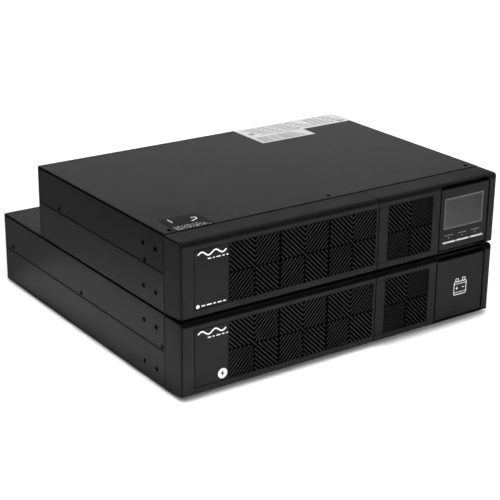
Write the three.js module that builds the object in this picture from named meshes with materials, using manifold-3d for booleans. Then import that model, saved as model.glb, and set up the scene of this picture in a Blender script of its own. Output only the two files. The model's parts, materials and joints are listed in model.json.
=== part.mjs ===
// Rackmount UPS set: a two-unit-high power module that stands on its matching battery pack.
// Millimetres. +X is right seen from the front, +Y runs to the rear and +Z is up.
// The origin is the centre of the footprint, on the surface that the battery pack stands on.
// Each unit is built in its own frame: x = 0 on the centre line, y = 0 on the front face, z = 0 below.

import * as THREE from "three";
import { mergeVertices } from "three/addons/utils/BufferGeometryUtils.js";
import Module from "manifold-3d";

const wasm = await Module();
wasm.setup();

// ---------- driving dimensions ----------

const UNIT_WIDTH = 438; // chassis that fits between 19-inch rack rails
const UNIT_HEIGHT = 87.8; // two rack units of 44.45 less the stacking clearance
const UPS_DEPTH = 315;
const PACK_DEPTH = 415;
const BEZEL_DEPTH = 33;
const SHEET = 1.2; // steel sheet of the chassis
const GAP = 0.3; // between pieces that touch on the real object
const FOLD_RADIUS = 2;
const SEAM_Z = 43.5; // where the tray's side meets the cover's side
const SEAM_GAP = 0.8;
const TRAY_LIP = 12; // height of the tray's lip behind the cover
const REAR_RIM = 4; // depth of the rear panel's folded rim

const BEZEL_SEAM = 0.8; // shadow line between the bezels and the steel behind them
const BEZEL_STEP = 0.6; // how far the bezels' top lies under the cover
const BEZEL_WALL = 2;
const BEZEL_FACE = 3;
const BEZEL_SPLIT_X = 40; // joint line between the left and the right bezel
const BEZEL_CORNER = 3;
const BEZEL_TOP_RADIUS = 6.5;
const BEZEL_CREASE = 165; // where the top's curve meets the flat front, in degrees
const BEZEL_FOOT = { front: 4.5, nose: [1, 3.4], rear: 0.2 }; // the underside rises towards the front

const GRILLE_Z = [11, 77];
const GRILLE_LIP = { thickness: 1.4, overlap: 3, sideOverlap: 1.2 };
const LEFT_INSERT_X = [-203.5, 36.5];
const LEFT_LOUVRE_X = -160; // left edge of the first louvre cell
const RIGHT_INSERT_X = [40.5, 120];
const RIGHT_LOUVRE_X = 54.5;
const LOUVRE_CELL = 65.5;
const LOUVRE_FRAME = 0.8; // half width of the web between two cells
const LOUVRE_STEPS = 6; // bars from a cell's centre to its edge
const LOUVRE_BAR_SHARE = 0.42; // bar width over bar pitch

const BAY_X = [131.1, 208.4]; // square bay that holds the display or the blank module
const BAY_Z = [5.3, 81.7];
const BAY_WALL = 2.1;
const PRY_NOTCH_X = [192, 206]; // slot under the module for a fingernail
const SCOOP = { rise: 5.1, shoulder: 9, depth: 9, base: 81 };
const MODULE_GAP = 1; // shadow line round a module
const MODULE_DEPTH = 31;
const MODULE_FACE_Y = 0.6;
const MODULE_WALL = 2;

const LCD_X = [139.5, 199];
const LCD_Z = [32, 68.8];
const BUTTON_X = [[139, 158.6], [160.9, 179.6], [181.9, 201.5]];
const BUTTON_Z = [14.4, 16.2];
const DISPLAY_BOARD = { x: [134.6, 204.9], y: [10, 11.6], z: [8.6, 78.4] };
const DISPLAY_HEADER = { x: [152, 188], y: [11.5, 19], z: [38, 46] };

const BATTERY = { width: 94, depth: 151, height: 65, lidInset: 2.5, lidHeight: 3 };
const TERMINAL_TAB = { reach: 5, width: 6.3, z: [40, 40.8], inset: 20 };
const TRAY_X = [-206, 4];
const TRAY_FLANGE = { x: [-212, 10], z: [5.5, 81.5] };
const TRAY_FLOOR = 2;
const TRAY_WALL_TOP = 40;
const BAIL = { x: [-136, -66], front: 18, thickness: 3, arm: 4, z: [42, 46] };
const TRAY_VENTS = { x: [-190, -50], length: 44, z: [20, 70], pitch: 12, height: 4 };
const BATTERY_ROWS = { ups: 1, pack: 2 };
const BATTERY_COLUMNS_X = [-204.3, -103];
const BATTERY_BASE = 3.6; // on the tray's floor
const FIXED_COLUMNS_X = [10, 111];
const FIRST_ROW_Y = 36.5;
const ROW_PITCH = 153;
const CLAMP = { x: [6.3, 212.7], y: [90, 300], windowX: [40, 180], windowsY: [130, 220], window: 45 };

const PLATE = { x: [-216, 216], z: [1.5, 86.3], doorTop: 74, latchClearance: 0.7 };
const PLATE_VENTS = { x: [52, 118], z: [18, 74], pitch: 9, height: 4.5 };
const PLATE_WINDOW = { x: [150, 190], z: [34, 50] }; // for the display's lead

const EAR_HOLES = { y: [50, 75], low: 18, high: 66.5, radius: 2.2 };
const EARTH_STUD = { x: 190, z: 24, radius: 3, nut: 5, length: 3.2, nutLength: 2.3 };

const FAN = { x: -165, z: 44, size: 80, depth: 25, bore: 38, hub: 19, blades: 7, strut: 3 };
const FAN_BLADE = { length: 20, thickness: 1.6, width: 19, pitch: 35, middle: 26.2 };
const FAN_GUARD = { radius: 36, pitch: 9, slot: 5.5, rows: 3 };

const HALF_WIDTH = UNIT_WIDTH / 2;
const CHASSIS_FRONT = BEZEL_DEPTH + BEZEL_SEAM;
const PLATE_Y = [34.5, 34.5 + SHEET]; // front plate of the chassis

// ---------- finishes ----------

const FINISH = {
  chassis: { color: 0x2b2b2c, roughness: 0.55, metalness: 0.6 },
  zinc: { color: 0x9a9c9e, roughness: 0.4, metalness: 0.9 },
  bezel: { color: 0x1c1c1d, roughness: 0.5, metalness: 0 },
  louvre: { color: 0x242425, roughness: 0.5, metalness: 0 },
  module: { color: 0x171718, roughness: 0.45, metalness: 0 },
  lens: { color: 0x4a4b4c, roughness: 0.12, metalness: 0 },
  lcd: { color: 0x5b605a, roughness: 0.3, metalness: 0 },
  button: { color: 0xe6e6e4, roughness: 0.4, metalness: 0 },
  board: { color: 0x1e5a34, roughness: 0.5, metalness: 0 },
  battery: { color: 0x3b3d40, roughness: 0.6, metalness: 0 },
  aluminium: { color: 0xb9bbbd, roughness: 0.35, metalness: 1 },
  copper: { color: 0xb06a35, roughness: 0.4, metalness: 0.9 },
  capacitor: { color: 0x26303c, roughness: 0.4, metalness: 0 },
  fan: { color: 0x141414, roughness: 0.5, metalness: 0 },
  socket: { color: 0x101011, roughness: 0.4, metalness: 0 },
  switchgear: { color: 0x2c2d2e, roughness: 0.5, metalness: 0 },
  reset: { color: 0xb5b5b2, roughness: 0.4, metalness: 0 },
  connector: { color: 0x4d5154, roughness: 0.5, metalness: 0 },
};

// ---------- solids from three.js geometry ----------

// A closed geometry as a solid that can be cut and joined.
function solid(geometry) {
  geometry.deleteAttribute("normal");
  geometry.deleteAttribute("uv");
  const merged = mergeVertices(geometry, 1e-4);
  return new wasm.Manifold(
    new wasm.Mesh({
      numProp: 3,
      vertProperties: new Float32Array(merged.attributes.position.array),
      triVerts: new Uint32Array(merged.index.array),
    }),
  );
}

// A box from its [low, high] on each axis.
function box(x, y, z) {
  const geometry = new THREE.BoxGeometry(x[1] - x[0], y[1] - y[0], z[1] - z[0]);
  geometry.translate((x[0] + x[1]) / 2, (y[0] + y[1]) / 2, (z[0] + z[1]) / 2);
  return solid(geometry);
}

// An outline drawn in the plane across an axis, extruded along it over a [low, high] span.
// Along x the outline holds (y, z), along y it holds (x, z) and along z it holds (x, y).
function prism(axis, outline, span) {
  const shape = new THREE.Shape(outline.map(([u, v]) => new THREE.Vector2(u, v)));
  const depth = span[1] - span[0];
  const geometry = new THREE.ExtrudeGeometry(shape, { depth, bevelEnabled: false });
  const x = new THREE.Vector3(1, 0, 0);
  const y = new THREE.Vector3(0, 1, 0);
  const z = new THREE.Vector3(0, 0, 1);
  const turn = new THREE.Matrix4();
  if (axis === "x") turn.makeBasis(y, z, x).setPosition(span[0], 0, 0);
  if (axis === "y") turn.makeBasis(x, z, y.clone().negate()).setPosition(0, span[1], 0);
  if (axis === "z") turn.setPosition(0, 0, span[0]);
  geometry.applyMatrix4(turn);
  return solid(geometry);
}

// A box that grows from its centre in x and z and spans y.
function post(centre, width, y, height = width) {
  return box(around(centre[0], width), y, around(centre[1], height));
}

// A round bar along an axis; the centre is given in the plane across it.
function bar(axis, centre, radius, span, sides = 16) {
  const length = span[1] - span[0];
  const middle = (span[0] + span[1]) / 2;
  const geometry = new THREE.CylinderGeometry(radius, radius, length, sides);
  if (axis === "x") geometry.rotateZ(Math.PI / 2).translate(middle, centre[0], centre[1]);
  if (axis === "y") geometry.translate(centre[0], middle, centre[1]);
  if (axis === "z") geometry.rotateX(Math.PI / 2).translate(centre[0], centre[1], middle);
  return solid(geometry);
}

function join(first, ...others) {
  return others.reduce((whole, piece) => whole.add(piece), first);
}

function cut(whole, ...tools) {
  return tools.reduce((left, tool) => left.subtract(tool), whole);
}

function geometryOf(body) {
  const mesh = body.getMesh();
  const geometry = new THREE.BufferGeometry();
  geometry.setAttribute("position", new THREE.BufferAttribute(mesh.vertProperties, 3));
  geometry.setIndex(new THREE.BufferAttribute(mesh.triVerts, 1));
  geometry.computeVertexNormals();
  return geometry;
}

// Points of an arc, angles in degrees.
function arc(u, v, radius, start, end, steps) {
  const points = [];
  for (let i = 0; i <= steps; i += 1) {
    const angle = THREE.MathUtils.degToRad(start + ((end - start) * i) / steps);
    points.push([u + radius * Math.cos(angle), v + radius * Math.sin(angle)]);
  }
  return points;
}

function mirrored(outline) {
  return outline.map(([u, v]) => [-u, v]).reverse();
}

function grown(span, by) {
  return [span[0] - by, span[1] + by];
}

function around(centre, size) {
  return [centre - size / 2, centre + size / 2];
}

// ---------- the two units ----------

const assembly = new THREE.Group();

function makeUnit(prefix, depth, base) {
  const group = new THREE.Group();
  group.position.set(0, -PACK_DEPTH / 2, base);
  assembly.add(group);
  return { prefix, depth, group, rear: depth - REAR_RIM, trayRows: BATTERY_ROWS[prefix] };
}

function place(unit, name, body, finish, x = 0, y = 0, z = 0) {
  const mesh = new THREE.Mesh(geometryOf(body), new THREE.MeshStandardMaterial(FINISH[finish]));
  mesh.name = name;
  mesh.position.set(x, y, z);
  unit.group.add(mesh);
}

// ---------- chassis ----------

function earHoles(z) {
  return EAR_HOLES.y.map((y) =>
    bar("x", [y, z], EAR_HOLES.radius, grown([-HALF_WIDTH, HALF_WIDTH], 1), 8),
  );
}

// Folded tray: floor, two sides up to the seam and a joggled lip behind the cover's sides.
function chassisTray(unit) {
  const lipTop = SEAM_Z + TRAY_LIP;
  const inner = HALF_WIDTH - SHEET;
  const right = [
    ...arc(HALF_WIDTH - FOLD_RADIUS, FOLD_RADIUS, FOLD_RADIUS, -90, 0, 3),
    [HALF_WIDTH, SEAM_Z],
    [inner - GAP, SEAM_Z],
    [inner - GAP, lipTop],
    [inner - GAP - SHEET, lipTop],
    [inner - GAP - SHEET, SEAM_Z - SHEET],
    [inner, SEAM_Z - SHEET],
    [inner, SHEET],
  ];
  const sheet = prism("y", [...right, ...mirrored(right)], [CHASSIS_FRONT, unit.rear - GAP]);
  const body = cut(sheet, ...earHoles(EAR_HOLES.low));
  place(unit, `${unit.prefix}_chassis_tray`, body, "chassis");
}

// Folded cover: the top and the upper half of both sides.
function topCover(unit) {
  const top = UNIT_HEIGHT;
  const bottom = SEAM_Z + SEAM_GAP;
  const right = [
    [HALF_WIDTH - SHEET, top - SHEET],
    [HALF_WIDTH - SHEET, bottom],
    [HALF_WIDTH, bottom],
    ...arc(HALF_WIDTH - FOLD_RADIUS, top - FOLD_RADIUS, FOLD_RADIUS, 0, 90, 3),
  ];
  const sheet = prism("y", [...right, ...mirrored(right)], [CHASSIS_FRONT, unit.rear - GAP]);
  const body = cut(sheet, ...earHoles(EAR_HOLES.high));
  place(unit, `${unit.prefix}_top_cover`, body, "chassis");
}

function roundedOutline(inset) {
  const half = HALF_WIDTH - inset;
  const low = inset;
  const high = UNIT_HEIGHT - inset;
  const radius = Math.max(FOLD_RADIUS - inset, 0.6);
  const right = [
    ...arc(half - radius, low + radius, radius, -90, 0, 3),
    ...arc(half - radius, high - radius, radius, 0, 90, 3),
  ];
  return [...right, ...mirrored(right)];
}

// Rear panel: a shallow pan with its rim flush with the chassis, its plate set in.
function rearPanel(unit, cutouts) {
  const rim = prism("y", roundedOutline(0), [unit.rear, unit.depth]);
  const recess = prism("y", roundedOutline(SHEET), [unit.rear + SHEET, unit.depth + 1]);
  const { x, z, radius, nut, length, nutLength } = EARTH_STUD;
  const root = unit.rear + SHEET / 2;
  const stud = bar("y", [x, z], radius, [root, root + length], 10);
  const hexagon = bar("y", [x, z], nut, [root, root + nutLength], 6);
  const body = join(cut(rim, recess, ...cutouts), stud, hexagon);
  place(unit, `${unit.prefix}_rear_panel`, body, "chassis");
}

const LATCH_Y = [24, 40];

// Bezel latches: [low x, high x, low z, high z] of each tab that enters the front plate.
const LATCHES = {
  left: [
    [-216.6, -210, 2.6, 4.6],
    [14, 28, 2.6, 4.6],
    [-180, -166, 83.2, 85.8],
    [14, 28, 83.2, 85.8],
  ],
  right: [
    [50, 64, 2.6, 4.6],
    [106, 120, 2.6, 4.6],
    [50, 64, 83.2, 85.8],
    [106, 120, 83.2, 85.8],
  ],
};

// Front plate: closes the chassis behind the bezels, with the battery door and air slots.
function frontPlate(unit) {
  const { x, z, doorTop, latchClearance } = PLATE;
  const through = grown(PLATE_Y, 1);
  const tools = [box(grown(TRAY_X, 1), through, [1, doorTop])];
  for (const [x0, x1, z0, z1] of [...LATCHES.left, ...LATCHES.right]) {
    const edge = z0 < SEAM_Z ? [0, z1 + latchClearance] : [z0 - latchClearance, UNIT_HEIGHT];
    tools.push(box(grown([x0, x1], latchClearance), through, edge));
  }
  for (let low = PLATE_VENTS.z[0]; low < PLATE_VENTS.z[1]; low += PLATE_VENTS.pitch) {
    tools.push(box(PLATE_VENTS.x, through, [low, low + PLATE_VENTS.height]));
  }
  tools.push(box(PLATE_WINDOW.x, through, PLATE_WINDOW.z));
  place(unit, `${unit.prefix}_front_plate`, cut(box(x, PLATE_Y, z), ...tools), "chassis");
}

// ---------- bezels ----------

// Plan of a bezel seen from above, with its outer front corner rounded.
function bezelPlan(span, outerSide) {
  const corner = BEZEL_CORNER;
  const outer = HALF_WIDTH - corner;
  if (outerSide === "left") {
    const round = arc(-outer, corner, corner, 180, 270, 3);
    return [[span[1], 0], [span[1], BEZEL_DEPTH], [span[0], BEZEL_DEPTH], ...round];
  }
  const round = arc(outer, corner, corner, 270, 360, 3);
  return [[span[0], 0], ...round, [span[1], BEZEL_DEPTH], [span[0], BEZEL_DEPTH]];
}

// Hollow moulding, open to the rear, between two x positions; its top rolls over to the front face.
function bezelShell(span, outerSide) {
  const top = UNIT_HEIGHT - BEZEL_STEP;
  const radius = BEZEL_TOP_RADIUS;
  const wall = BEZEL_WALL;
  const { front, nose, rear } = BEZEL_FOOT;
  const roll = arc(radius, top - radius, radius, 90, BEZEL_CREASE, 6);
  const crease = roll[roll.length - 1][1] - GAP;
  const side = [[BEZEL_DEPTH, rear], [BEZEL_DEPTH, top], ...roll, [0, crease], [0, front], nose];
  const shell = prism("x", side, span).intersect(prism("z", bezelPlan(span, outerSide), [-1, top + 1]));
  const hollow = [
    [BEZEL_FACE, nose[1] + wall],
    [BEZEL_DEPTH + 1, rear + wall],
    [BEZEL_DEPTH + 1, top - wall],
    [radius, top - wall],
    [BEZEL_FACE, top - wall - radius + BEZEL_FACE],
  ];
  return cut(shell, prism("x", hollow, grown(span, -wall)));
}

function latchTabs(side) {
  return LATCHES[side].map(([x0, x1, z0, z1]) => box([x0, x1], LATCH_Y, [z0, z1]));
}

function bezelLeft(unit) {
  const shell = bezelShell([-HALF_WIDTH, BEZEL_SPLIT_X - GAP / 2], "left");
  const opening = box(grown(LEFT_INSERT_X, GAP), [-1, BEZEL_FACE + 0.5], grown(GRILLE_Z, GAP));
  const body = join(cut(shell, opening), ...latchTabs("left"));
  place(unit, `${unit.prefix}_bezel_left`, body, "bezel");
}

// Shallow scoop above the bay, as wide as the module, for the fingers that pull it out.
function fingerScoop() {
  const { rise, shoulder, depth, base } = SCOOP;
  const [left, right] = grown(BAY_X, -MODULE_GAP);
  const quarter = arc(0, 0, 1, 90, 180, 4);
  const leftShoulder = quarter.map(([u, v]) => [left + shoulder * (1 + u), base + rise * v]);
  const rightShoulder = quarter.map(([u, v]) => [right - shoulder * (1 + u), base + rise * v]);
  return prism("y", [...leftShoulder, ...rightShoulder.reverse()], [-1, depth]);
}

function bezelRight(unit) {
  const shell = bezelShell([BEZEL_SPLIT_X + GAP / 2, HALF_WIDTH], "right");
  const insertX = [BEZEL_SPLIT_X - BEZEL_WALL, RIGHT_INSERT_X[1] + GAP];
  const insert = box(insertX, [-1, BEZEL_FACE + 2 * GAP], grown(GRILLE_Z, GAP));
  const tunnelZ = [BEZEL_FOOT.nose[1], BAY_Z[1] + BAY_WALL];
  const tunnel = box(grown(BAY_X, BAY_WALL), [BEZEL_FACE - 1, BEZEL_DEPTH], tunnelZ);
  const bay = box(BAY_X, [-1, BEZEL_DEPTH + 1], BAY_Z);
  const notch = box(PRY_NOTCH_X, [-1, BEZEL_FACE + BEZEL_WALL], around(BAY_Z[0], 2.4));
  const hollow = cut(join(cut(shell, insert), tunnel), bay, notch, fingerScoop());
  place(unit, `${unit.prefix}_bezel_right`, join(hollow, ...latchTabs("right")), "bezel");
}

// ---------- louvred inserts ----------

// Openings of one louvre cell: nested chevrons in the four triangles between its diagonals.
function chevrons(centreX, centreZ, halfX, halfZ) {
  const slots = [];
  const share = LOUVRE_BAR_SHARE / 2;
  for (let i = 0; i < LOUVRE_STEPS; i += 1) {
    const near = (i + share) / LOUVRE_STEPS;
    const far = Math.min((i + 1 - share) / LOUVRE_STEPS, 1);
    const edge = 1 - LOUVRE_FRAME / halfZ;
    if (near >= edge) continue;
    const open = Math.max(edge - near, 0);
    const inner = Math.max(edge - far, 0);
    const corner = far < edge ? [[inner, edge], [0, far], [-inner, edge]] : [];
    const shape = [[-open, edge], [0, near], [open, edge], ...corner];
    slots.push(shape);
  }
  const turns = [([u, v]) => [u, v], ([u, v]) => [v, -u], ([u, v]) => [-u, -v], ([u, v]) => [-v, u]];
  return turns.flatMap((turn) =>
    slots.map((slot) => slot.map(turn).map(([u, v]) => [centreX + u * halfX, centreZ + v * halfZ])),
  );
}

function grille(unit, side, insertX, firstCellX, cells) {
  const back = BEZEL_FACE + GAP;
  const { thickness, overlap, sideOverlap } = GRILLE_LIP;
  const lipY = [back, back + thickness];
  const centreZ = (GRILLE_Z[0] + GRILLE_Z[1]) / 2;
  const halfZ = (GRILLE_Z[1] - GRILLE_Z[0]) / 2;
  const openings = [];
  for (let cell = 0; cell < cells; cell += 1) {
    const centreX = firstCellX + LOUVRE_CELL * (cell + 0.5);
    for (const slot of chevrons(centreX, centreZ, LOUVRE_CELL / 2, halfZ)) {
      openings.push(prism("y", slot, [-1, back + 1]));
    }
  }
  const face = cut(box(insertX, [0, back], GRILLE_Z), wasm.Manifold.union(openings));
  const narrow = [insertX[0] + 2.6, insertX[1] + overlap]; // clears the left bezel's edge
  const lipX = side === "left" ? grown(insertX, sideOverlap) : narrow;
  const windowX = [firstCellX + LOUVRE_FRAME, firstCellX + cells * LOUVRE_CELL - LOUVRE_FRAME];
  const window = box(windowX, grown(lipY, 1), grown(GRILLE_Z, -LOUVRE_FRAME));
  const lip = cut(box(lipX, lipY, grown(GRILLE_Z, overlap)), window);
  place(unit, `${unit.prefix}_grille_${side}`, join(face, lip), "louvre");
}

// ---------- display and blank modules ----------

function moduleShell() {
  const outerX = grown(BAY_X, -MODULE_GAP);
  const outerZ = grown(BAY_Z, -MODULE_GAP);
  const shell = box(outerX, [MODULE_FACE_Y, MODULE_DEPTH], outerZ);
  const pocket = box(grown(outerX, -MODULE_WALL), [3, MODULE_DEPTH + 1], grown(outerZ, -MODULE_WALL));
  return cut(shell, pocket);
}

function displayModule(unit) {
  const windowCut = box(LCD_X, [0, 4], LCD_Z);
  const slots = BUTTON_X.map((x) => box(grown(x, GAP), [0, 4], grown(BUTTON_Z, GAP)));
  place(unit, "display_housing", cut(moduleShell(), windowCut, ...slots), "module");

  const pane = box(grown(LCD_X, -GAP), [MODULE_FACE_Y, 4.2], grown(LCD_Z, -GAP));
  const flange = box(grown(LCD_X, 2), [3.3, 4.5], grown(LCD_Z, 2));
  place(unit, "display_lens", join(pane, flange), "lens");
  place(unit, "lcd_panel", box(grown(LCD_X, 1), [4.8, 8.4], grown(LCD_Z, 1)), "lcd");

  const switchZ = (BUTTON_Z[0] + BUTTON_Z[1]) / 2;
  const centres = BUTTON_X.map((x) => [(x[0] + x[1]) / 2, switchZ]);
  const board = box(DISPLAY_BOARD.x, DISPLAY_BOARD.y, DISPLAY_BOARD.z);
  const header = box(DISPLAY_HEADER.x, DISPLAY_HEADER.y, DISPLAY_HEADER.z);
  const switches = centres.map((centre) => post(centre, 6, [7.4, 10.1]));
  place(unit, "display_board", join(board, header, ...switches), "board");

  const names = ["left", "centre", "right"];
  BUTTON_X.forEach((x, i) => {
    const cap = box(x, [0, 3.6], BUTTON_Z);
    const skirt = box(grown(x, 0.25), [3.4, 4.4], around(switchZ, 7));
    const stem = post(centres[i], 4, [4.3, 6.2]);
    place(unit, `display_button_${names[i]}`, join(cap, skirt, stem), "button");
  });
}

// ---------- batteries and their trays ----------

function batteryBlock() {
  const { width, depth, height, lidInset, lidHeight } = BATTERY;
  const { reach, width: tab, z, inset } = TERMINAL_TAB;
  const caseBody = box([0, width], [0, depth], [0, height - lidHeight]);
  const lidX = [lidInset, width - lidInset];
  const lid = box(lidX, [lidInset, depth - lidInset], [height - lidHeight - 1, height]);
  const tabs = [inset, depth - inset].map((y) => box([width - 1, width + reach], around(y, tab), z));
  return join(caseBody, lid, ...tabs);
}

// Drawer that carries the blocks: a flange that closes the door, a floor, low walls and a bail.
function batteryTray(unit) {
  const end = FIRST_ROW_Y + ROW_PITCH * unit.trayRows + GAP + 0.4;
  const flangeY = [BEZEL_DEPTH, BEZEL_DEPTH + SHEET];
  const inside = [BEZEL_DEPTH + SHEET / 2, end];
  const wallZ = [TRAY_FLOOR, TRAY_WALL_TOP];
  const armY = [BAIL.front, inside[0]];
  const tray = join(
    box(TRAY_FLANGE.x, flangeY, TRAY_FLANGE.z),
    box(TRAY_X, inside, [TRAY_FLOOR, TRAY_FLOOR + SHEET]),
    box([TRAY_X[0], TRAY_X[0] + SHEET], inside, wallZ),
    box([TRAY_X[1] - SHEET, TRAY_X[1]], inside, wallZ),
    box(TRAY_X, [end - SHEET, end], wallZ),
    box([BAIL.x[0], BAIL.x[0] + BAIL.arm], armY, BAIL.z),
    box([BAIL.x[1] - BAIL.arm, BAIL.x[1]], armY, BAIL.z),
    box(BAIL.x, [BAIL.front, BAIL.front + BAIL.thickness], BAIL.z),
  );
  const vents = [];
  for (const x of TRAY_VENTS.x) {
    for (let z = TRAY_VENTS.z[0]; z < TRAY_VENTS.z[1]; z += TRAY_VENTS.pitch) {
      vents.push(box([x, x + TRAY_VENTS.length], grown(flangeY, 0.4), [z, z + TRAY_VENTS.height]));
    }
  }
  place(unit, `${unit.prefix}_battery_tray`, cut(tray, ...vents), "chassis");
}

function trayBatteries(unit) {
  let number = 1;
  for (let row = 0; row < unit.trayRows; row += 1) {
    for (const x of BATTERY_COLUMNS_X) {
      const y = FIRST_ROW_Y + row * ROW_PITCH;
      place(unit, `${unit.prefix}_battery_${number}`, batteryBlock(), "battery", x, y, BATTERY_BASE);
      number += 1;
    }
  }
  return number;
}

// Blocks that stay in the pack, beside the drawer, and the sheet that clamps them down.
function fixedBatteries(unit, first) {
  let number = first;
  const floor = SHEET + GAP;
  for (let row = 0; row < 2; row += 1) {
    for (const x of FIXED_COLUMNS_X) {
      const y = FIRST_ROW_Y + 4 + row * ROW_PITCH;
      place(unit, `${unit.prefix}_battery_${number}`, batteryBlock(), "battery", x, y, floor);
      number += 1;
    }
  }
  const top = floor + BATTERY.height + GAP;
  const { x: clampX, y: clampY, windowX, windowsY, window } = CLAMP;
  const legZ = [floor, top + SHEET / 2];
  const clamp = join(
    box(clampX, clampY, [top, top + SHEET]),
    box([clampX[0], clampX[0] + SHEET], clampY, legZ),
    box([clampX[1] - SHEET, clampX[1]], clampY, legZ),
  );
  const windows = windowsY.map((y) => box(windowX, [y, y + window], grown([top, top + SHEET], 1)));
  place(unit, "pack_battery_clamp", cut(clamp, ...windows), "zinc");
}

// ---------- power electronics ----------

const BOARD = { x: [14, 212], y: [45, 272], z: [9, 10.6], postX: [20, 206], postY: [51, 266], post: 3 };
const HEATSINK = { x: [24, 150], y: [70, 220], fins: 8, pitch: 6, fin: 1.6, base: 6, height: 52 };
const CAPACITOR = { x: 112, y: [90, 126], radius: 15, height: 46, score: 9 };
const CHOKE = { x: 112, y: 185, radius: 15, section: [6, 8], sides: 8 };
const CORE = { x: [-95, -35], y: [200, 242], top: 52 };
const WINDING = { x: [-85, -45], y: [193, 249], z: [8, 46] };

function mainBoard(unit) {
  const posts = [];
  for (const x of BOARD.postX) {
    for (const y of BOARD.postY) {
      posts.push(bar("z", [x, y], BOARD.post, [SHEET + GAP, BOARD.z[0] + 0.5], 8));
    }
  }
  place(unit, "main_board", join(box(BOARD.x, BOARD.y, BOARD.z), ...posts), "board");
}

// Comb-shaped extrusion: a base with upright fins.
function heatsinks(unit, base) {
  const { fins, pitch, fin, base: root, height } = HEATSINK;
  const comb = [[0, 0], [(fins - 1) * pitch + fin, 0]];
  for (let i = fins - 1; i >= 0; i -= 1) {
    const x = i * pitch;
    comb.push([x + fin, height], [x, height]);
    if (i > 0) comb.push([x, root], [x - pitch + fin, root]);
  }
  const sink = prism("y", comb, HEATSINK.y);
  place(unit, "heatsink_left", sink, "aluminium", HEATSINK.x[0], 0, base);
  place(unit, "heatsink_right", sink, "aluminium", HEATSINK.x[1], 0, base);
}

function capacitors(unit, base) {
  const { x, y, radius, height, score } = CAPACITOR;
  const can = bar("z", [0, 0], radius, [0, height], 18);
  const long = [-score, score];
  const narrow = around(0, SHEET);
  const scoreZ = around(height, 2);
  const vented = cut(can, box(long, narrow, scoreZ), box(narrow, long, scoreZ));
  place(unit, "bulk_capacitor_front", vented, "capacitor", x, y[0], base);
  place(unit, "bulk_capacitor_rear", vented, "capacitor", x, y[1], base);
}

function outputChoke(unit, base) {
  const { x, y, radius, section, sides } = CHOKE;
  const ring = [];
  for (let i = 0; i < sides; i += 1) {
    const angle = (i / sides) * Math.PI * 2;
    const point = [radius + section[0] * Math.cos(angle), section[1] * (1 + Math.sin(angle))];
    ring.push(new THREE.Vector2(...point));
  }
  ring.push(ring[0].clone());
  const coil = solid(new THREE.LatheGeometry(ring, 16).rotateX(Math.PI / 2));
  place(unit, "output_choke", coil, "copper", x, y, base);
}

function transformer(unit) {
  const core = box(CORE.x, CORE.y, [SHEET + GAP, CORE.top]);
  const winding = box(WINDING.x, WINDING.y, WINDING.z);
  place(unit, "transformer", join(core, winding), "copper");
}

// ---------- fan ----------

function fan(unit) {
  const back = unit.rear - 0.5;
  const front = back - FAN.depth;
  const centre = [FAN.x, FAN.z];
  const strutY = [back - 3.5, back];
  const ring = cut(
    post(centre, FAN.size, [front, back]),
    bar("y", centre, FAN.bore, [front - 1, back + 1], 32),
  );
  const hub = bar("y", centre, FAN.hub, strutY, 20);
  const reach = 2 * (FAN.bore + 1);
  const upright = post(centre, FAN.strut, strutY, reach);
  const crossbar = post(centre, reach, strutY, FAN.strut);
  place(unit, "fan_frame", join(ring, hub, upright, crossbar), "fan");

  const { length, thickness, width, pitch, middle } = FAN_BLADE;
  const rotorY = [front + 1.5, strutY[0] - 0.5];
  let rotor = bar("y", [0, 0], FAN.hub - 0.5, rotorY, 20);
  for (let i = 0; i < FAN.blades; i += 1) {
    const blade = new THREE.BoxGeometry(length, thickness, width);
    blade.rotateX(THREE.MathUtils.degToRad(pitch));
    blade.translate(middle, (rotorY[0] + rotorY[1]) / 2, 0);
    blade.rotateY((i / FAN.blades) * Math.PI * 2);
    rotor = rotor.add(solid(blade));
  }
  place(unit, "fan_rotor", rotor, "fan", FAN.x, 0, FAN.z);
}

// Level slots over the fan, each as long as the circle is wide at its height.
function fanGuardSlots(unit) {
  const { radius, pitch, slot, rows } = FAN_GUARD;
  const y = [unit.rear - 1, unit.rear + 3];
  const slots = [];
  for (let row = -rows; row <= rows; row += 1) {
    const edge = Math.abs(row) * pitch + slot / 2;
    const half = Math.sqrt(radius ** 2 - edge ** 2);
    slots.push(post([FAN.x, FAN.z + row * pitch], 2 * half, y, slot));
  }
  return slots;
}

// ---------- rear sockets ----------

const SOCKET_FACE = SHEET + 2.4; // from the rear panel's inner side to a socket's face
const OUTLETS = { x: [20.5, 54, 87.5], z: [28, 60], blockX: [4, 104], blockZ: [12, 76], depth: 30 };
const OUTLET = { moat: [25, 18], tongue: [20, 13], depth: 16, slot: [2.4, 5] };
const OUTLET_SLOTS = [[-6, -1], [6, -1], [0, 2.5]];
const INLET = { x: 140, z: 60, width: 24.5, height: 17, depth: 24, well: 18 };
const INLET_FLANGE = { width: 48, height: 26, screwX: 20, screw: 1.7 };
const INLET_PINS = [[-7, -1.5], [7, -1.5], [0, 3]];
const BREAKER = { x: 190, z: 60, body: 8.5, flange: 11, bore: 5, button: 4.6, depth: 20, proud: 5 };
const DC_SOCKET = { width: 40, height: 22, depth: 36, contact: 12, contactX: 9.5, well: 20, z: 24 };
const DC_BLADE = { width: 8, z: [-5.4, -3.4] };
const CORNER_CUT = 4.5;

// Outline of an appliance socket: a rectangle with its two upper corners cut off.
function socketOutline(x, z, width, height) {
  const [x0, x1] = around(x, width);
  const [z0, z1] = around(z, height);
  const shoulder = z1 - CORNER_CUT;
  return [[x0, z0], [x1, z0], [x1, shoulder], [x1 - CORNER_CUT, z1], [x0 + CORNER_CUT, z1], [x0, shoulder]];
}

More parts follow.
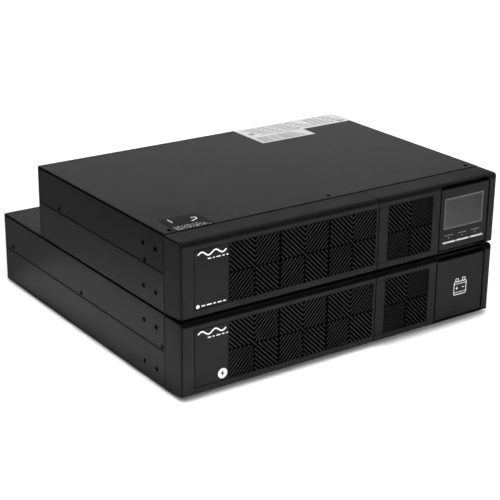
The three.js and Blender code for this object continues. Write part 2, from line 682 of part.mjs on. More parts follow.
function outletBlock(unit) {
  const face = unit.rear + SOCKET_FACE;
  const { moat, tongue, depth, slot } = OUTLET;
  const flangeY = [unit.rear + SHEET + GAP, face];
  const flange = box(grown(OUTLETS.blockX, 3), flangeY, grown(OUTLETS.blockZ, 3));
  let block = join(box(OUTLETS.blockX, [face - OUTLETS.depth, face], OUTLETS.blockZ), flange);
  for (const x of OUTLETS.x) {
    for (const z of OUTLETS.z) {
      const well = prism("y", socketOutline(x, z, ...moat), [face - depth, face + 1]);
      const island = prism("y", socketOutline(x, z, ...tongue), [face - depth - 1, face]);
      const slots = OUTLET_SLOTS.map(([dx, dz]) =>
        post([x + dx, z + dz], slot[0], [face - depth + 2, face + 1], slot[1]),
      );
      block = join(cut(block, well), cut(island, ...slots));
    }
  }
  place(unit, "outlet_block", block, "socket");
}

function mainsInlet(unit) {
  const face = unit.rear + SOCKET_FACE;
  const { x, z, width, height, depth, well } = INLET;
  const flangeY = [unit.rear + SHEET + GAP, face];
  const body = join(
    post([x, z], width + 4, [face - depth, face], height + 4),
    post([x, z], INLET_FLANGE.width, flangeY, INLET_FLANGE.height),
  );
  const hollow = prism("y", socketOutline(x, z, width, height), [face - well, face + 1]);
  const screws = [-1, 1].map((side) =>
    bar("y", [x + side * INLET_FLANGE.screwX, z], INLET_FLANGE.screw, grown(flangeY, 1), 8),
  );
  const pins = INLET_PINS.map(([dx, dz]) => post([x + dx, z + dz], 2, [face - well - 1, face - 3], 4));
  place(unit, "mains_inlet", join(cut(body, hollow, ...screws), ...pins), "socket");
}

function resetBreaker(unit) {
  const face = unit.rear + SOCKET_FACE;
  const { x, z, body, flange, bore, button, depth, proud } = BREAKER;
  const centre = [x, z];
  const housing = join(
    bar("y", centre, body, [face - depth, face], 20),
    bar("y", centre, flange, [unit.rear + SHEET + GAP, face], 20),
  );
  const hole = bar("y", centre, bore, [face - depth - 1, face + 1], 16);
  place(unit, "breaker_body", cut(housing, hole), "switchgear");
  place(unit, "breaker_button", bar("y", centre, button, [face - 14, face + proud], 16), "reset");
}

function dcSocket(unit, name, x, z) {
  const face = unit.rear + SOCKET_FACE;
  const { width, height, depth, contact, contactX, well } = DC_SOCKET;
  const centres = [x - contactX, x + contactX];
  const body = join(
    post([x, z], width, [face - depth, face], height),
    post([x, z], width + 8, [unit.rear + SHEET + GAP, face], height + 6),
  );
  const wells = centres.map((centre) => post([centre, z], contact, [face - well, face + 1]));
  const bladeZ = DC_BLADE.z.map((level) => z + level);
  const blades = centres.map((centre) =>
    box(around(centre, DC_BLADE.width), [face - well - 1, face - 4], bladeZ),
  );
  place(unit, name, join(cut(body, ...wells), ...blades), "connector");
}

// Communication board: a card with a USB socket and a serial port; a terminal block sits beside them.
const PORTS = { usb: [-110, -98], serial: [-86, -54], terminal: [-40, -20], z: [12.2, 24.2], depth: 12 };
const CARD = { x: [-118, -12], z: [10.6, 12.4], depth: 60 };
const USB = { depth: 16, well: 14, tongueInset: 3.6, tongueZ: [17, 20] };
const SERIAL = { shellInset: 6, shellDrop: 2 };
const TERMINAL = { holes: [-35, -25], holeSize: 6, holeDepth: 8, z: 18.2 };
const PORT_FACE = SHEET + 1.6;

function commBoard(unit) {
  const face = unit.rear + PORT_FACE;
  const card = box(CARD.x, [face - CARD.depth, face - 3], CARD.z);
  const usb = cut(
    box(PORTS.usb, [face - USB.depth, face], PORTS.z),
    box(grown(PORTS.usb, -1), [face - USB.well, face + 1], grown(PORTS.z, -1)),
  );
  const tongueX = grown(PORTS.usb, -USB.tongueInset);
  const tongue = box(tongueX, [face - USB.well - 1, face - 4], USB.tongueZ);
  const shellX = grown(PORTS.serial, -SERIAL.shellInset);
  const serial = join(
    box(PORTS.serial, [face - PORTS.depth, face - 2], PORTS.z),
    box(shellX, [face - PORTS.depth, face], grown(PORTS.z, -SERIAL.shellDrop)),
  );
  place(unit, "comm_board", join(card, usb, tongue, serial), "board");
}

function terminalBlock(unit) {
  const face = unit.rear + PORT_FACE;
  const { holes, holeSize, holeDepth, z } = TERMINAL;
  const block = box(PORTS.terminal, [face - PORTS.depth, face], [CARD.z[1] + GAP, PORTS.z[1]]);
  const wells = holes.map((x) => post([x, z], holeSize, [face - holeDepth, face + 1]));
  place(unit, "terminal_block", cut(block, ...wells), "connector");
}

const SLOT_COVER = { x: [-122, -6], z: [46, 80], screwX: [-117, -11], screwZ: 63, screw: 3.6 };
const SLOT_OPENING = { x: [-114, -14], z: [49, 77] };

function slotCover(unit) {
  const { x, z, screwX, screwZ, screw } = SLOT_COVER;
  const front = unit.rear + SHEET + GAP;
  const plate = box(x, [front, front + SHEET], z);
  const screws = screwX.map((centre) =>
    bar("y", [centre, screwZ], screw, [front, unit.depth - 0.2], 12),
  );
  place(unit, "slot_cover", join(plate, ...screws), "chassis");
}

function dcSocketHole(x, z, y) {
  return post([x, z], DC_SOCKET.width + 1, y, DC_SOCKET.height + 1);
}

function upsRearCutouts(unit) {
  const y = [unit.rear - 1, unit.rear + SHEET + 0.2];
  const clearance = 0.5;
  const ports = [PORTS.usb, PORTS.serial, PORTS.terminal].map((x) =>
    box(grown(x, clearance), y, grown(PORTS.z, clearance)),
  );
  return [
    ...fanGuardSlots(unit),
    box(grown(OUTLETS.blockX, clearance), y, grown(OUTLETS.blockZ, clearance)),
    post([INLET.x, INLET.z], INLET.width + 5, y, INLET.height + 5),
    bar("y", [BREAKER.x, BREAKER.z], BREAKER.body + clearance, y, 20),
    dcSocketHole(INLET.x, DC_SOCKET.z, y),
    ...ports,
    box(SLOT_OPENING.x, y, SLOT_OPENING.z),
  ];
}

// ---------- battery pack rear ----------

const DC_BREAKER = { x: 80, z: 44, width: 36, height: 50, depth: 56, pivotInset: 11 };
const LEVER = { length: 11.5, width: 8, thickness: 4.4, hub: 4, tilt: 30, slot: 9, swing: 27 };
const PACK_SOCKETS = { x: 150, z: [24, 60] };
const PACK_VENTS = { x: [-190, -40], pitch: 15, width: 6, z: [20, 68] };
const FUSE_BOARD = { x: [-200, -60], depth: [60, 12], z: [8, 9.6] };
const FUSES = { x: [-184, -150, -116, -82], width: 20, depth: [50, 22], z: [9, 22] };
const FUSE_POSTS = { x: [-194, -66], inset: [54, 18], radius: 3 };

function dcBreaker(unit) {
  const { x, z, width, height, depth, pivotInset } = DC_BREAKER;
  const pivotY = unit.rear - pivotInset;
  const body = cut(
    post([x, z], width, [unit.rear - depth, unit.rear - GAP], height),
    post([x, z], LEVER.slot, [pivotY - 6, unit.rear + 1], LEVER.swing),
  );
  place(unit, "dc_breaker_body", body, "switchgear");
  const arm = join(
    bar("x", [0, 0], LEVER.hub, around(0, LEVER.width), 14),
    post([0, 0], LEVER.width, [0, LEVER.length], LEVER.thickness),
  );
  place(unit, "dc_breaker_lever", arm.rotate([LEVER.tilt, 0, 0]), "reset", x, pivotY, z);
}

function packRearCutouts(unit) {
  const y = [unit.rear - 1, unit.rear + SHEET + 0.2];
  const sockets = PACK_SOCKETS.z.map((z) => dcSocketHole(PACK_SOCKETS.x, z, y));
  const window = post([DC_BREAKER.x, DC_BREAKER.z], LEVER.slot + 3, y, LEVER.swing);
  const vents = [];
  for (let x = PACK_VENTS.x[0]; x <= PACK_VENTS.x[1]; x += PACK_VENTS.pitch) {
    vents.push(box([x, x + PACK_VENTS.width], y, PACK_VENTS.z));
  }
  return [...sockets, window, ...vents];
}

function fuseBoard(unit) {
  const behind = (inset) => unit.rear - inset;
  const board = box(FUSE_BOARD.x, FUSE_BOARD.depth.map(behind), FUSE_BOARD.z);
  const fuses = FUSES.x.map((x) => box(around(x, FUSES.width), FUSES.depth.map(behind), FUSES.z));
  const posts = FUSE_POSTS.x.flatMap((x) =>
    FUSE_POSTS.inset.map((inset) =>
      bar("z", [x, behind(inset)], FUSE_POSTS.radius, [SHEET + GAP, FUSE_BOARD.z[0] + 0.5], 8),
    ),
  );
  place(unit, "fuse_board", join(board, ...fuses, ...posts), "board");
}

// ---------- assembly ----------

function commonPieces(unit, rearCutouts) {
  chassisTray(unit);
  topCover(unit);
  rearPanel(unit, rearCutouts);
  frontPlate(unit);
  bezelLeft(unit);
  bezelRight(unit);
  grille(unit, "left", LEFT_INSERT_X, LEFT_LOUVRE_X, 3);
  grille(unit, "right", RIGHT_INSERT_X, RIGHT_LOUVRE_X, 1);
  batteryTray(unit);
}

const ups = makeUnit("ups", UPS_DEPTH, UNIT_HEIGHT + GAP);
commonPieces(ups, upsRearCutouts(ups));
displayModule(ups);
trayBatteries(ups);
mainBoard(ups);
const boardTop = BOARD.z[1] + GAP;
heatsinks(ups, boardTop);
capacitors(ups, boardTop);
outputChoke(ups, boardTop);
transformer(ups);
fan(ups);
outletBlock(ups);
mainsInlet(ups);
resetBreaker(ups);
dcSocket(ups, "ups_dc_socket", INLET.x, DC_SOCKET.z);
commBoard(ups);
terminalBlock(ups);
slotCover(ups);

const pack = makeUnit("pack", PACK_DEPTH, 0);
commonPieces(pack, packRearCutouts(pack));
place(pack, "pack_blank_module", moduleShell(), "module");
fixedBatteries(pack, trayBatteries(pack));
dcBreaker(pack);
dcSocket(pack, "pack_dc_socket_lower", PACK_SOCKETS.x, PACK_SOCKETS.z[0]);
dcSocket(pack, "pack_dc_socket_upper", PACK_SOCKETS.x, PACK_SOCKETS.z[1]);
fuseBoard(pack);

export default assembly;
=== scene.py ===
import json
import math

import bmesh
import bpy
from mathutils import Matrix, Vector
from mathutils.geometry import tessellate_polygon


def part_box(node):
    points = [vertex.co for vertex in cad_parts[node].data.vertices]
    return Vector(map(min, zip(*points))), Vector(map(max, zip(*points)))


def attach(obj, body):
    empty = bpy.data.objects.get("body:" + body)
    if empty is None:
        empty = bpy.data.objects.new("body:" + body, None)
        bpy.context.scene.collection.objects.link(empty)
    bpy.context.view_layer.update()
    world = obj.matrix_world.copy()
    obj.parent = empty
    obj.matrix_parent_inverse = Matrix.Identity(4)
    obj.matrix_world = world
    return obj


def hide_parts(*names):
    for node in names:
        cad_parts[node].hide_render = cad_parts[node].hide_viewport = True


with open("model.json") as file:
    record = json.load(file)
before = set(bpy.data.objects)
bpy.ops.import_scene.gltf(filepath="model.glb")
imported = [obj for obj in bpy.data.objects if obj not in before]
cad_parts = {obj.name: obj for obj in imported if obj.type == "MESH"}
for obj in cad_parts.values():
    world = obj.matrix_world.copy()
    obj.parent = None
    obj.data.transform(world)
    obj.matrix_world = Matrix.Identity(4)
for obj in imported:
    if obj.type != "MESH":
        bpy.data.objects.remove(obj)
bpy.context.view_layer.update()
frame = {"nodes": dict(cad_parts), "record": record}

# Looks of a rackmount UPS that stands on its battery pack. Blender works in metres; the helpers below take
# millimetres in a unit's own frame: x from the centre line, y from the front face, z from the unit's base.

MM = 0.001

# ---------- driving dimensions, in millimetres ----------

BEZEL_DEPTH = 33
GRILLE_Z = (11, 77)
INSERTS = {  # span of each louvred insert and of its lip, start of the first cell, number of cells
    "left": ((-203.5, 36.5), (-204.7, 37.7), -160, 3),
    "right": ((40.5, 120), (43.1, 123), 54.5, 1),
}
LOUVRE_CELL = 65.5
LOUVRE_STEPS = 6
LOUVRE_BAR = 0.9
LOUVRE_DEPTH = 3.3
LOUVRE_BLADE = 0.45  # depth of the bars themselves
LOUVRE_TOP = -0.05  # the bars end this far behind the face
LOUVRE_BORDER = 1.7  # the bars keep this far from the line between two cells
LOUVRE_RIB = 0.3  # half width of the ribs behind them
LOUVRE_LIP = 1.4
LIP_REACH = 3  # height of the lip above and below the grille
FILTER_SHEET = 1.2
PANEL_INSET = 0.6  # widens the shadow line round the blank fields
MODULE_X = (132.1, 207.4)
MODULE_Z = (6.3, 80.7)
MODULE_STEP = 0.6  # the modules stand this far out of the bezels
LCD_X = (139.5, 199)
LCD_Z = (32, 68.8)
KEY_CENTRES = (148.0, 169.0, 189.5)
PRINT = 0.08  # thickness of printed ink
LABEL = 0.12  # thickness of a stuck-on label
STACK = "chassis_stack"  # the body that carries both chassis
SMOOTH_ANGLE = math.radians(40)  # softer edges of a built shape are shaded smooth
SHARP_ANGLE = math.radians(35)  # sharper edges are rounded


# ---------- units, faces and shapes ----------

class Unit:
    """One of the two boxes, with its own origin and outer sizes."""

    def __init__(self, name):
        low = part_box(name + "_chassis_tray")[0]
        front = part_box(name + "_bezel_left")[0]
        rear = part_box(name + "_rear_panel")[1]
        self.name = name
        self.origin = Vector((0, front.y, low.z))
        self.half_width = rear.x / MM
        self.height = (rear.z - low.z) / MM
        self.depth = (rear.y - front.y) / MM


class Face:
    """A plane on a unit: u and v run along it and w stands out of it."""

    def __init__(self, unit, kind, level):
        x, y, z = Vector((1, 0, 0)), Vector((0, 1, 0)), Vector((0, 0, 1))
        along = {
            "front": (x, z, -y),
            "rear": (x, z, y),
            "top": (x, y, z),
            "left": (y, z, -x),
            "right": (y, z, x),
        }
        self.u, self.v, self.w = along[kind]
        sign = -1 if kind == "front" else 1
        self.origin = unit.origin + self.w * (sign * level * MM)

    def at(self, u, v, w):
        return self.origin + (self.u * u + self.v * v + self.w * w) * MM


def added(name, data):
    """A new object in the scene."""
    made = bpy.data.objects.new(name, data)
    bpy.context.scene.collection.objects.link(made)
    return made


LEAST_HALF = 0.02  # half width of a bar at the very end, in millimetres


class Shape:
    """Closed shells on one face, gathered into one mesh."""

    def __init__(self, face):
        self.face = face
        self.points = []
        self.faces = []

    def shell(self, points, faces):
        first = len(self.points)
        self.points += [self.face.at(*p) for p in points]
        self.faces += [[first + i for i in face] for face in faces]

    def plate(self, outline, low, high, holes=()):
        """A flat plate from w = low to w = high, with holes right through it."""
        loops = [outline, *holes]
        flat = [p for loop in loops for p in loop]
        count = len(flat)
        triangles = tessellate_polygon([[Vector((u, v, 0)) for u, v in loop] for loop in loops])
        points = [(u, v, high) for u, v in flat] + [(u, v, low) for u, v in flat]
        faces = [list(t) for t in triangles]
        faces += [[i + count for i in reversed(t)] for t in triangles]
        start = 0
        for loop in loops:
            for i in range(len(loop)):
                a, b = start + i, start + (i + 1) % len(loop)
                faces.append([a, b, b + count, a + count])
            start += len(loop)
        self.shell(points, faces)

    def box(self, u, v, w):
        self.plate(rectangle(u, v), *w)

    def bar(self, path, width, low, high, edge=0.0):
        """A bar of constant width along a path, with round ends and, with edge, eased upper edges."""
        half = width / 2
        steps = stations(path, half)
        flank = [(low, 0), (high - edge, 0), (high, edge)] if edge else [(low, 0), (high, 0)]
        section = [(-1, *p) for p in flank] + [(1, *p) for p in reversed(flank)]
        points = []
        for centre, side, share in steps:
            for sign, w, inset in section:
                reach = max(half * share - inset, LEAST_HALF) * sign
                points.append((centre.x + side.x * reach, centre.y + side.y * reach, w))
        size = len(section)
        faces = [list(range(size)), list(range(len(points) - size, len(points)))]
        for i in range(len(steps) - 1):
            for j in range(size):
                k = (j + 1) % size
                faces.append([i * size + j, i * size + k, (i + 1) * size + k, (i + 1) * size + j])
        self.shell(points, faces)

    def turned(self, u, v, profile, sides):
        """A round shell from (radius, w) points; the profile starts and ends on the axis."""
        points, rings = [], []
        for radius, w in profile:
            if radius == 0:
                rings.append([len(points)] * sides)
                points.append((u, v, w))
                continue
            rings.append([len(points) + i for i in range(sides)])
            points += [(*place, w) for place in circle(u, v, radius, sides)]
        faces = []
        for lower, upper in zip(rings, rings[1:]):
            for i in range(sides):
                k = (i + 1) % sides
                corners = [lower[i], lower[k], upper[k], upper[i]]
                faces.append(list(dict.fromkeys(corners)))
        self.shell(points, faces)

    def build(self, name, body, slot, material=None, replaces=(), bevel=0.0):
        """Makes the mesh a piece that rides on a body, in its slot's own material or another."""
        mesh = bpy.data.meshes.new(name)
        mesh.from_pydata(self.points, [], self.faces)
        work = bmesh.new()
        work.from_mesh(mesh)
        bmesh.ops.recalc_face_normals(work, faces=work.faces)
        for edge in work.edges:
            edge.smooth = edge.calc_face_angle(math.pi) < SMOOTH_ANGLE
        for face in work.faces:
            face.smooth = True
        work.to_mesh(mesh)
        work.free()
        mesh.materials.append(material or MATERIALS[slot])
        piece = added(name, mesh)
        if bevel:
            ease_edges(piece, bevel)
        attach(piece, body)
        if replaces:
            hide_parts(*replaces)


def stations(path, half):
    """Centre, side direction and width share along a path, with round ends."""
    points = [Vector(p) for p in path]
    runs = [(b - a).normalized() for a, b in zip(points, points[1:])]

    def cap(point, run, way):
        turns = [math.radians(angle) for angle in (10, 30, 55, 80)]
        return [(point + run * half * way * math.sin(t), side_of(run), math.cos(t)) for t in turns]

    found = cap(points[0], runs[0], -1)[::-1] + [(points[0], side_of(runs[0]), 1)]
    for i in range(1, len(points) - 1):
        mean = (side_of(runs[i - 1]) + side_of(runs[i])).normalized()
        found.append((points[i], mean / mean.dot(side_of(runs[i])), 1))
    return found + [(points[-1], side_of(runs[-1]), 1)] + cap(points[-1], runs[-1], 1)


def side_of(direction):
    """The direction turned a quarter to the left."""
    return Vector((-direction.y, direction.x))


def arc(u, v, radius, start, end, steps):
    """Points of an arc, angles in degrees."""
    turns = [math.radians(start + (end - start) * i / steps) for i in range(steps + 1)]
    return [(u + radius * math.cos(turn), v + radius * math.sin(turn)) for turn in turns]


def circle(u, v, radius, steps=32):
    return arc(u, v, radius, 0, 360, steps)[:-1]


def rounded(u, v, radius, steps=4):
    """A rectangle's outline with round corners."""
    (left, right), (low, high) = grown(u, -radius), grown(v, -radius)
    outline = []
    for centre, start in (((right, low), -90), ((right, high), 0), ((left, high), 90), ((left, low), 180)):
        outline += arc(*centre, radius, start, start + 90, steps)
    return outline


def rectangle(u, v):
    return [(u[0], v[0]), (u[1], v[0]), (u[1], v[1]), (u[0], v[1])]


def about(middle, half):
    """The span that reaches half its length to both sides of its middle."""
    return middle - half, middle + half


def centred(u, v, width, height):
    return rectangle(about(u, width / 2), about(v, height / 2))


def grown(span, amount):
    """A span made longer at both ends, or shorter where the amount is negative."""
    return span[0] - amount, span[1] + amount


def moved(span, amount):
    return span[0] + amount, span[1] + amount


def ease_edges(piece, width):
    """Rounds the sharp edges of a piece and keeps its flat faces flat."""
    edges = piece.modifiers.new("eased_edges", "BEVEL")
    edges.width = width * MM
    edges.segments = 2
    edges.limit_method = "ANGLE"
    edges.angle_limit = SHARP_ANGLE
    edges.use_clamp_overlap = True
    normals = piece.modifiers.new("flat_faces", "WEIGHTED_NORMAL")
    normals.keep_sharp = True
    normals.weight = 90


# ---------- materials ----------

COVER_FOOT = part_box("ups_top_cover")[0].z
BEZEL_JOINT = (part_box("ups_bezel_left")[1].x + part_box("ups_bezel_right")[0].x) / 2
# the dark line where two bezels meet is painted shade
JOINT_SHADE_REACH = 0.75 * MM  # half width of the dark line where two bezels meet
# painted shade: the cover's sides keep only this share of the paint's colour
COVER_SIDE_SHADE = 0.45  # share of the colour that is left on the sides
# painted shade: a bezel's sides keep this share of the plastic's colour
BEZEL_SIDE_SHADE = 0.85


class Surface:
    """A Principled material, with its nodes made and linked in short calls."""

    def __init__(self, name, metallic=0.0, specular=0.5):
        self.material = bpy.data.materials.new(name)
        self.material.use_nodes = True
        self.tree = self.material.node_tree
        self.shader = self.tree.nodes["Principled BSDF"]
        self.shader.inputs["Metallic"].default_value = metallic
        self.shader.inputs["Specular IOR Level"].default_value = specular
        coordinates = self.node("ShaderNodeTexCoord")
        self.place = coordinates.outputs["Object"]
        self.normal = coordinates.outputs["Normal"]

    def node(self, kind, *values, **settings):
        """Adds a node; values fill its inputs in order, as links where they are outputs."""
        made = self.tree.nodes.new(kind)
        for key, value in settings.items():
            setattr(made, key, value)
        for socket, value in zip(made.inputs, values):
            self.fill(socket, value)
        return made

    def fill(self, socket, value):
        if value is None:
            return
        if isinstance(value, bpy.types.NodeSocket):
            self.tree.links.new(value, socket)
        else:
            socket.default_value = value

    def noise(self, size, detail=2.0, stretch=(1, 1, 1)):
        """Noise whose features are about size millimetres across."""
        scaled = self.node("ShaderNodeVectorMath", self.place, stretch, operation="MULTIPLY").outputs[0]
        made = self.node("ShaderNodeTexNoise")
        self.fill(made.inputs["Vector"], scaled)
        self.fill(made.inputs["Scale"], 1 / (size * MM))
        self.fill(made.inputs["Detail"], detail)
        return made.outputs["Fac"]

    def cells(self, size, output="Distance"):
        """Cells about size millimetres across."""
        made = self.node("ShaderNodeTexVoronoi")
        self.fill(made.inputs["Vector"], self.place)
        self.fill(made.inputs["Scale"], 1 / (size * MM))
        return made.outputs[output]

    def range(self, value, low, high, out_low=0.0, out_high=1.0):
        return self.node("ShaderNodeMapRange", value, low, high, out_low, out_high).outputs[0]

    def drift(self, size, low=0.0, high=1.0, detail=2.0):
        """A value that wanders between two levels over about size millimetres."""
        return self.range(self.noise(size, detail), 0.3, 0.7, low, high)

    def math(self, operation, a, b=0.0):
        return self.node("ShaderNodeMath", a, b, operation=operation).outputs[0]

    def times(self, a, b):
        return self.math("MULTIPLY", a, b)

    def mix(self, factor, a, b):
        made = self.node("ShaderNodeMix", data_type="RGBA")
        self.fill(made.inputs["Factor"], factor)
        self.fill(made.inputs["A"], a)
        self.fill(made.inputs["B"], b)
        return made.outputs["Result"]

    def split(self, vector):
        """The three components of a vector."""
        return self.node("ShaderNodeSeparateXYZ", vector).outputs

    def lean(self):
        """How much the face looks along each axis, from 0 to 1."""
        return self.split(self.node("ShaderNodeVectorMath", self.normal, operation="ABSOLUTE").outputs[0])

    def worn(self, size=3.0):
        """High on rounded edges, where the face leans away from the axes, and broken up by noise."""
        x, y, z = self.lean()
        flat = self.math("MAXIMUM", self.math("MAXIMUM", x, y), z)
        edge = self.range(flat, 0.985, 0.93)
        return self.times(edge, self.range(self.noise(size, 3.0), 0.45, 0.75))

    def fold_shade_mask(self):
        """High on folds and corners, where the face looks between two axes; the studio is dark there, so
        this marks where a near-black painted reflection and shade go.
        """
        x, y, up = self.lean()
        fold_shade = self.times(self.range(up, 0.86, 0.72), self.range(up, 0.18, 0.3))
        side = self.math("MAXIMUM", x, y)
        corner = self.times(self.range(up, 0.3, 0.2), self.range(side, 0.9, 0.8))
        return self.math("MAXIMUM", fold_shade, corner)

    def near(self, axis, level, reach):
        """High within reach of a level along one axis of the object's space, in metres."""
        off = self.math("ABSOLUTE", self.math("SUBTRACT", self.split(self.place)[axis], level))
        return self.range(off, reach, reach * 0.8)

    def facing_side(self):
        """High on faces that look left or right."""
        return self.range(self.math("ABSOLUTE", self.split(self.normal)[0]), 0.6, 0.9)

    def facing_up(self):
        """High on faces that look up."""
        return self.range(self.split(self.normal)[2], 0.7, 1.0)

    def bump(self, height, depth, under=None):
        """Relief of depth millimetres."""
        made = self.node("ShaderNodeBump")
        made.inputs["Strength"].default_value = 1.0
        made.inputs["Distance"].default_value = depth * MM
        self.fill(made.inputs["Height"], height)
        self.fill(made.inputs["Normal"], under)
        return made.outputs["Normal"]

    def finish(self, colour, roughness, normal=None):
        self.fill(self.shader.inputs["Base Color"], colour)
        self.fill(self.shader.inputs["Roughness"], roughness)
        self.fill(self.shader.inputs["Normal"], normal)
        return self.material


def grey(value):
    return (value, value, value, 1.0)


def tinted(colour, share):
    return tuple(c * share for c in colour) + (1.0,)


def powder_coat(name, colour, roughness, specular):
    """Baked powder paint: orange-peel relief, faint cloudiness, rubbed edges and a little dust on top.

    The cover's sides get a painted shade that makes them darker than its top, and the folds a near-black
    painted reflection.
    """
    s = Surface(name, specular=specular)
    base = s.mix(s.drift(60, detail=3.0), tinted(colour, 0.94), tinted(colour, 1.06))
    speck = s.range(s.noise(0.9, 2.0), 0.62, 0.8)
    base = s.mix(s.times(speck, 0.35), base, tinted(colour, 1.9))
    dust = s.times(s.facing_up(), s.range(s.noise(140, 5.0), 0.4, 0.8, 0.0, 0.04))
    base = s.mix(dust, base, grey(0.09))
    base = s.mix(s.times(s.worn(), 0.12), base, grey(0.05))
    height = s.split(s.place)[2]
    # painted shade on the cover's sides, above the cover's foot
    cover = s.times(s.facing_side(), s.math("GREATER_THAN", height, COVER_FOOT))
    base = s.mix(cover, base, tinted(colour, COVER_SIDE_SHADE))
    # painted dark reflection and shade on folds and corners
    base = s.mix(s.fold_shade_mask(), base, grey(0.0006))
    rough = s.drift(25, roughness - 0.015, roughness + 0.015, 4.0)
    relief = s.bump(s.noise(2.4, 1.0), 0.012)
    relief = s.bump(s.noise(0.7, 2.0), 0.012, relief)
    return s.finish(base, rough, relief)


def moulding(
    name, colour, roughness=0.45, specular=0.15, grain=0.5, depth=0.01, wear=0.25, fold_shade=0.0, top=0.0
):
    """Moulded plastic with a fine spark-eroded grain and polished edges.

    For a bezel, fold_shade and top set painted shade: how dark its corners and folds and its upper faces
    are; its sides and the line where two bezels meet also get painted shade.
    """
    s = Surface(name, specular=specular)
    base = s.mix(s.drift(45, detail=3.0), tinted(colour, 0.9), tinted(colour, 1.1))
    base = s.mix(s.times(s.worn(4.0), wear), base, tinted(colour, 3.0))
    if fold_shade:
        shadow = tinted(colour, 0.1)
        # painted shade on the bezel's sides
        base = s.mix(s.facing_side(), base, tinted(colour, BEZEL_SIDE_SHADE))
        # painted shade on the bezel's folds and corners, as strong as fold_shade
        base = s.mix(s.times(s.fold_shade_mask(), fold_shade), base, shadow)
        # painted shadow on the bezel's upper faces, strongest under the unit above
        base = s.mix(s.times(s.facing_up(), top), base, shadow)
        # painted shade along the line where the two bezels meet
        base = s.mix(s.near(0, BEZEL_JOINT, JOINT_SHADE_REACH), base, shadow)
    rough = s.drift(18, roughness - 0.04, roughness + 0.05, 4.0)
    relief = s.bump(s.noise(grain, 2.0), depth)
    return s.finish(base, rough, relief)


def plated(name, colour, roughness=0.32, brushed=(1, 1, 1)):
    """Plated or bare metal with soft spangle and fine drawn lines."""
    s = Surface(name, metallic=1.0)
    spangle = s.split(s.cells(9, output="Color"))[0]
    base = s.mix(spangle, tinted(colour, 0.8), tinted(colour, 1.1))
    lines = s.noise(0.8, 3.0, brushed)
    rough = s.range(lines, 0.3, 0.7, roughness - 0.06, roughness + 0.1)
    return s.finish(base, rough, s.bump(lines, 0.006))


def circuit_board(name):
    """Green solder mask over copper tracks, with tinned pads."""
    s = Surface(name, specular=0.5)
    tracks = s.node("ShaderNodeTexBrick", s.place)
    tracks.inputs["Scale"].default_value = 160
    tracks.inputs["Mortar Size"].default_value = 0.03
    base = s.mix(tracks.outputs["Fac"], (0.006, 0.06, 0.022, 1), (0.02, 0.12, 0.05, 1))
    pads = s.range(s.cells(5.5), 0.16, 0.12)
    base = s.mix(pads, base, (0.5, 0.48, 0.42, 1))
    relief = s.bump(s.math("ADD", tracks.outputs["Fac"], pads), 0.03)
    return s.finish(base, s.drift(3, 0.32, 0.45), relief)


def lcd_glass(name):
    """Switched-off liquid crystal window: grey, with a painted reflection that makes it lighter towards
    its lower left corner.
    """
    s = Surface(name, specular=0.12)
    low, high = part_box("display_lens")
    x, _, z = s.split(s.place)
    # painted reflection: lighter towards the lower left corner
    painted_reflection = s.math("ADD", s.range(z, low.z, high.z), s.range(x, low.x, high.x))
    base = s.mix(s.times(painted_reflection, 0.5), grey(0.029), grey(0.0065))
    base = s.mix(s.range(s.noise(22, 2.0), 0.35, 0.7, 0.0, 0.15), base, grey(0.035))
    rough = s.drift(9, 0.3, 0.38, 3.0)
    return s.finish(base, rough, s.bump(s.noise(1.2, 1.0), 0.003))


def foam(name):
    """Open-cell black foam that swallows nearly all the light."""
    s = Surface(name, specular=0.0)
    pores = s.cells(0.9)
    base = s.mix(s.range(pores, 0.2, 0.6), grey(0.0008), grey(0.0022))
    return s.finish(base, s.drift(4, 0.85, 0.95), s.bump(pores, 0.3))


def painted_shade_plastic(name):
    """Matt near-black plastic standing for painted shade: the webs deep in shadow behind the bars are made
    this dark, and so are the dark lines at folds, seams and module edges.
    """
    s = Surface(name, specular=0.0)
    base = s.mix(s.drift(20, detail=3.0), grey(0.0012), grey(0.002))
    return s.finish(base, s.drift(9, 0.7, 0.85), s.bump(s.noise(0.6), 0.02))


def ink(name, tone):
    """Screen-printed grey or white ink with a slightly uneven film."""
    s = Surface(name, specular=0.4)
    base = s.mix(s.range(s.noise(1.5, 3.0), 0.35, 0.7), grey(tone * 0.9), grey(tone))
    return s.finish(base, s.drift(2, 0.42, 0.55), s.bump(s.noise(0.5), 0.01))


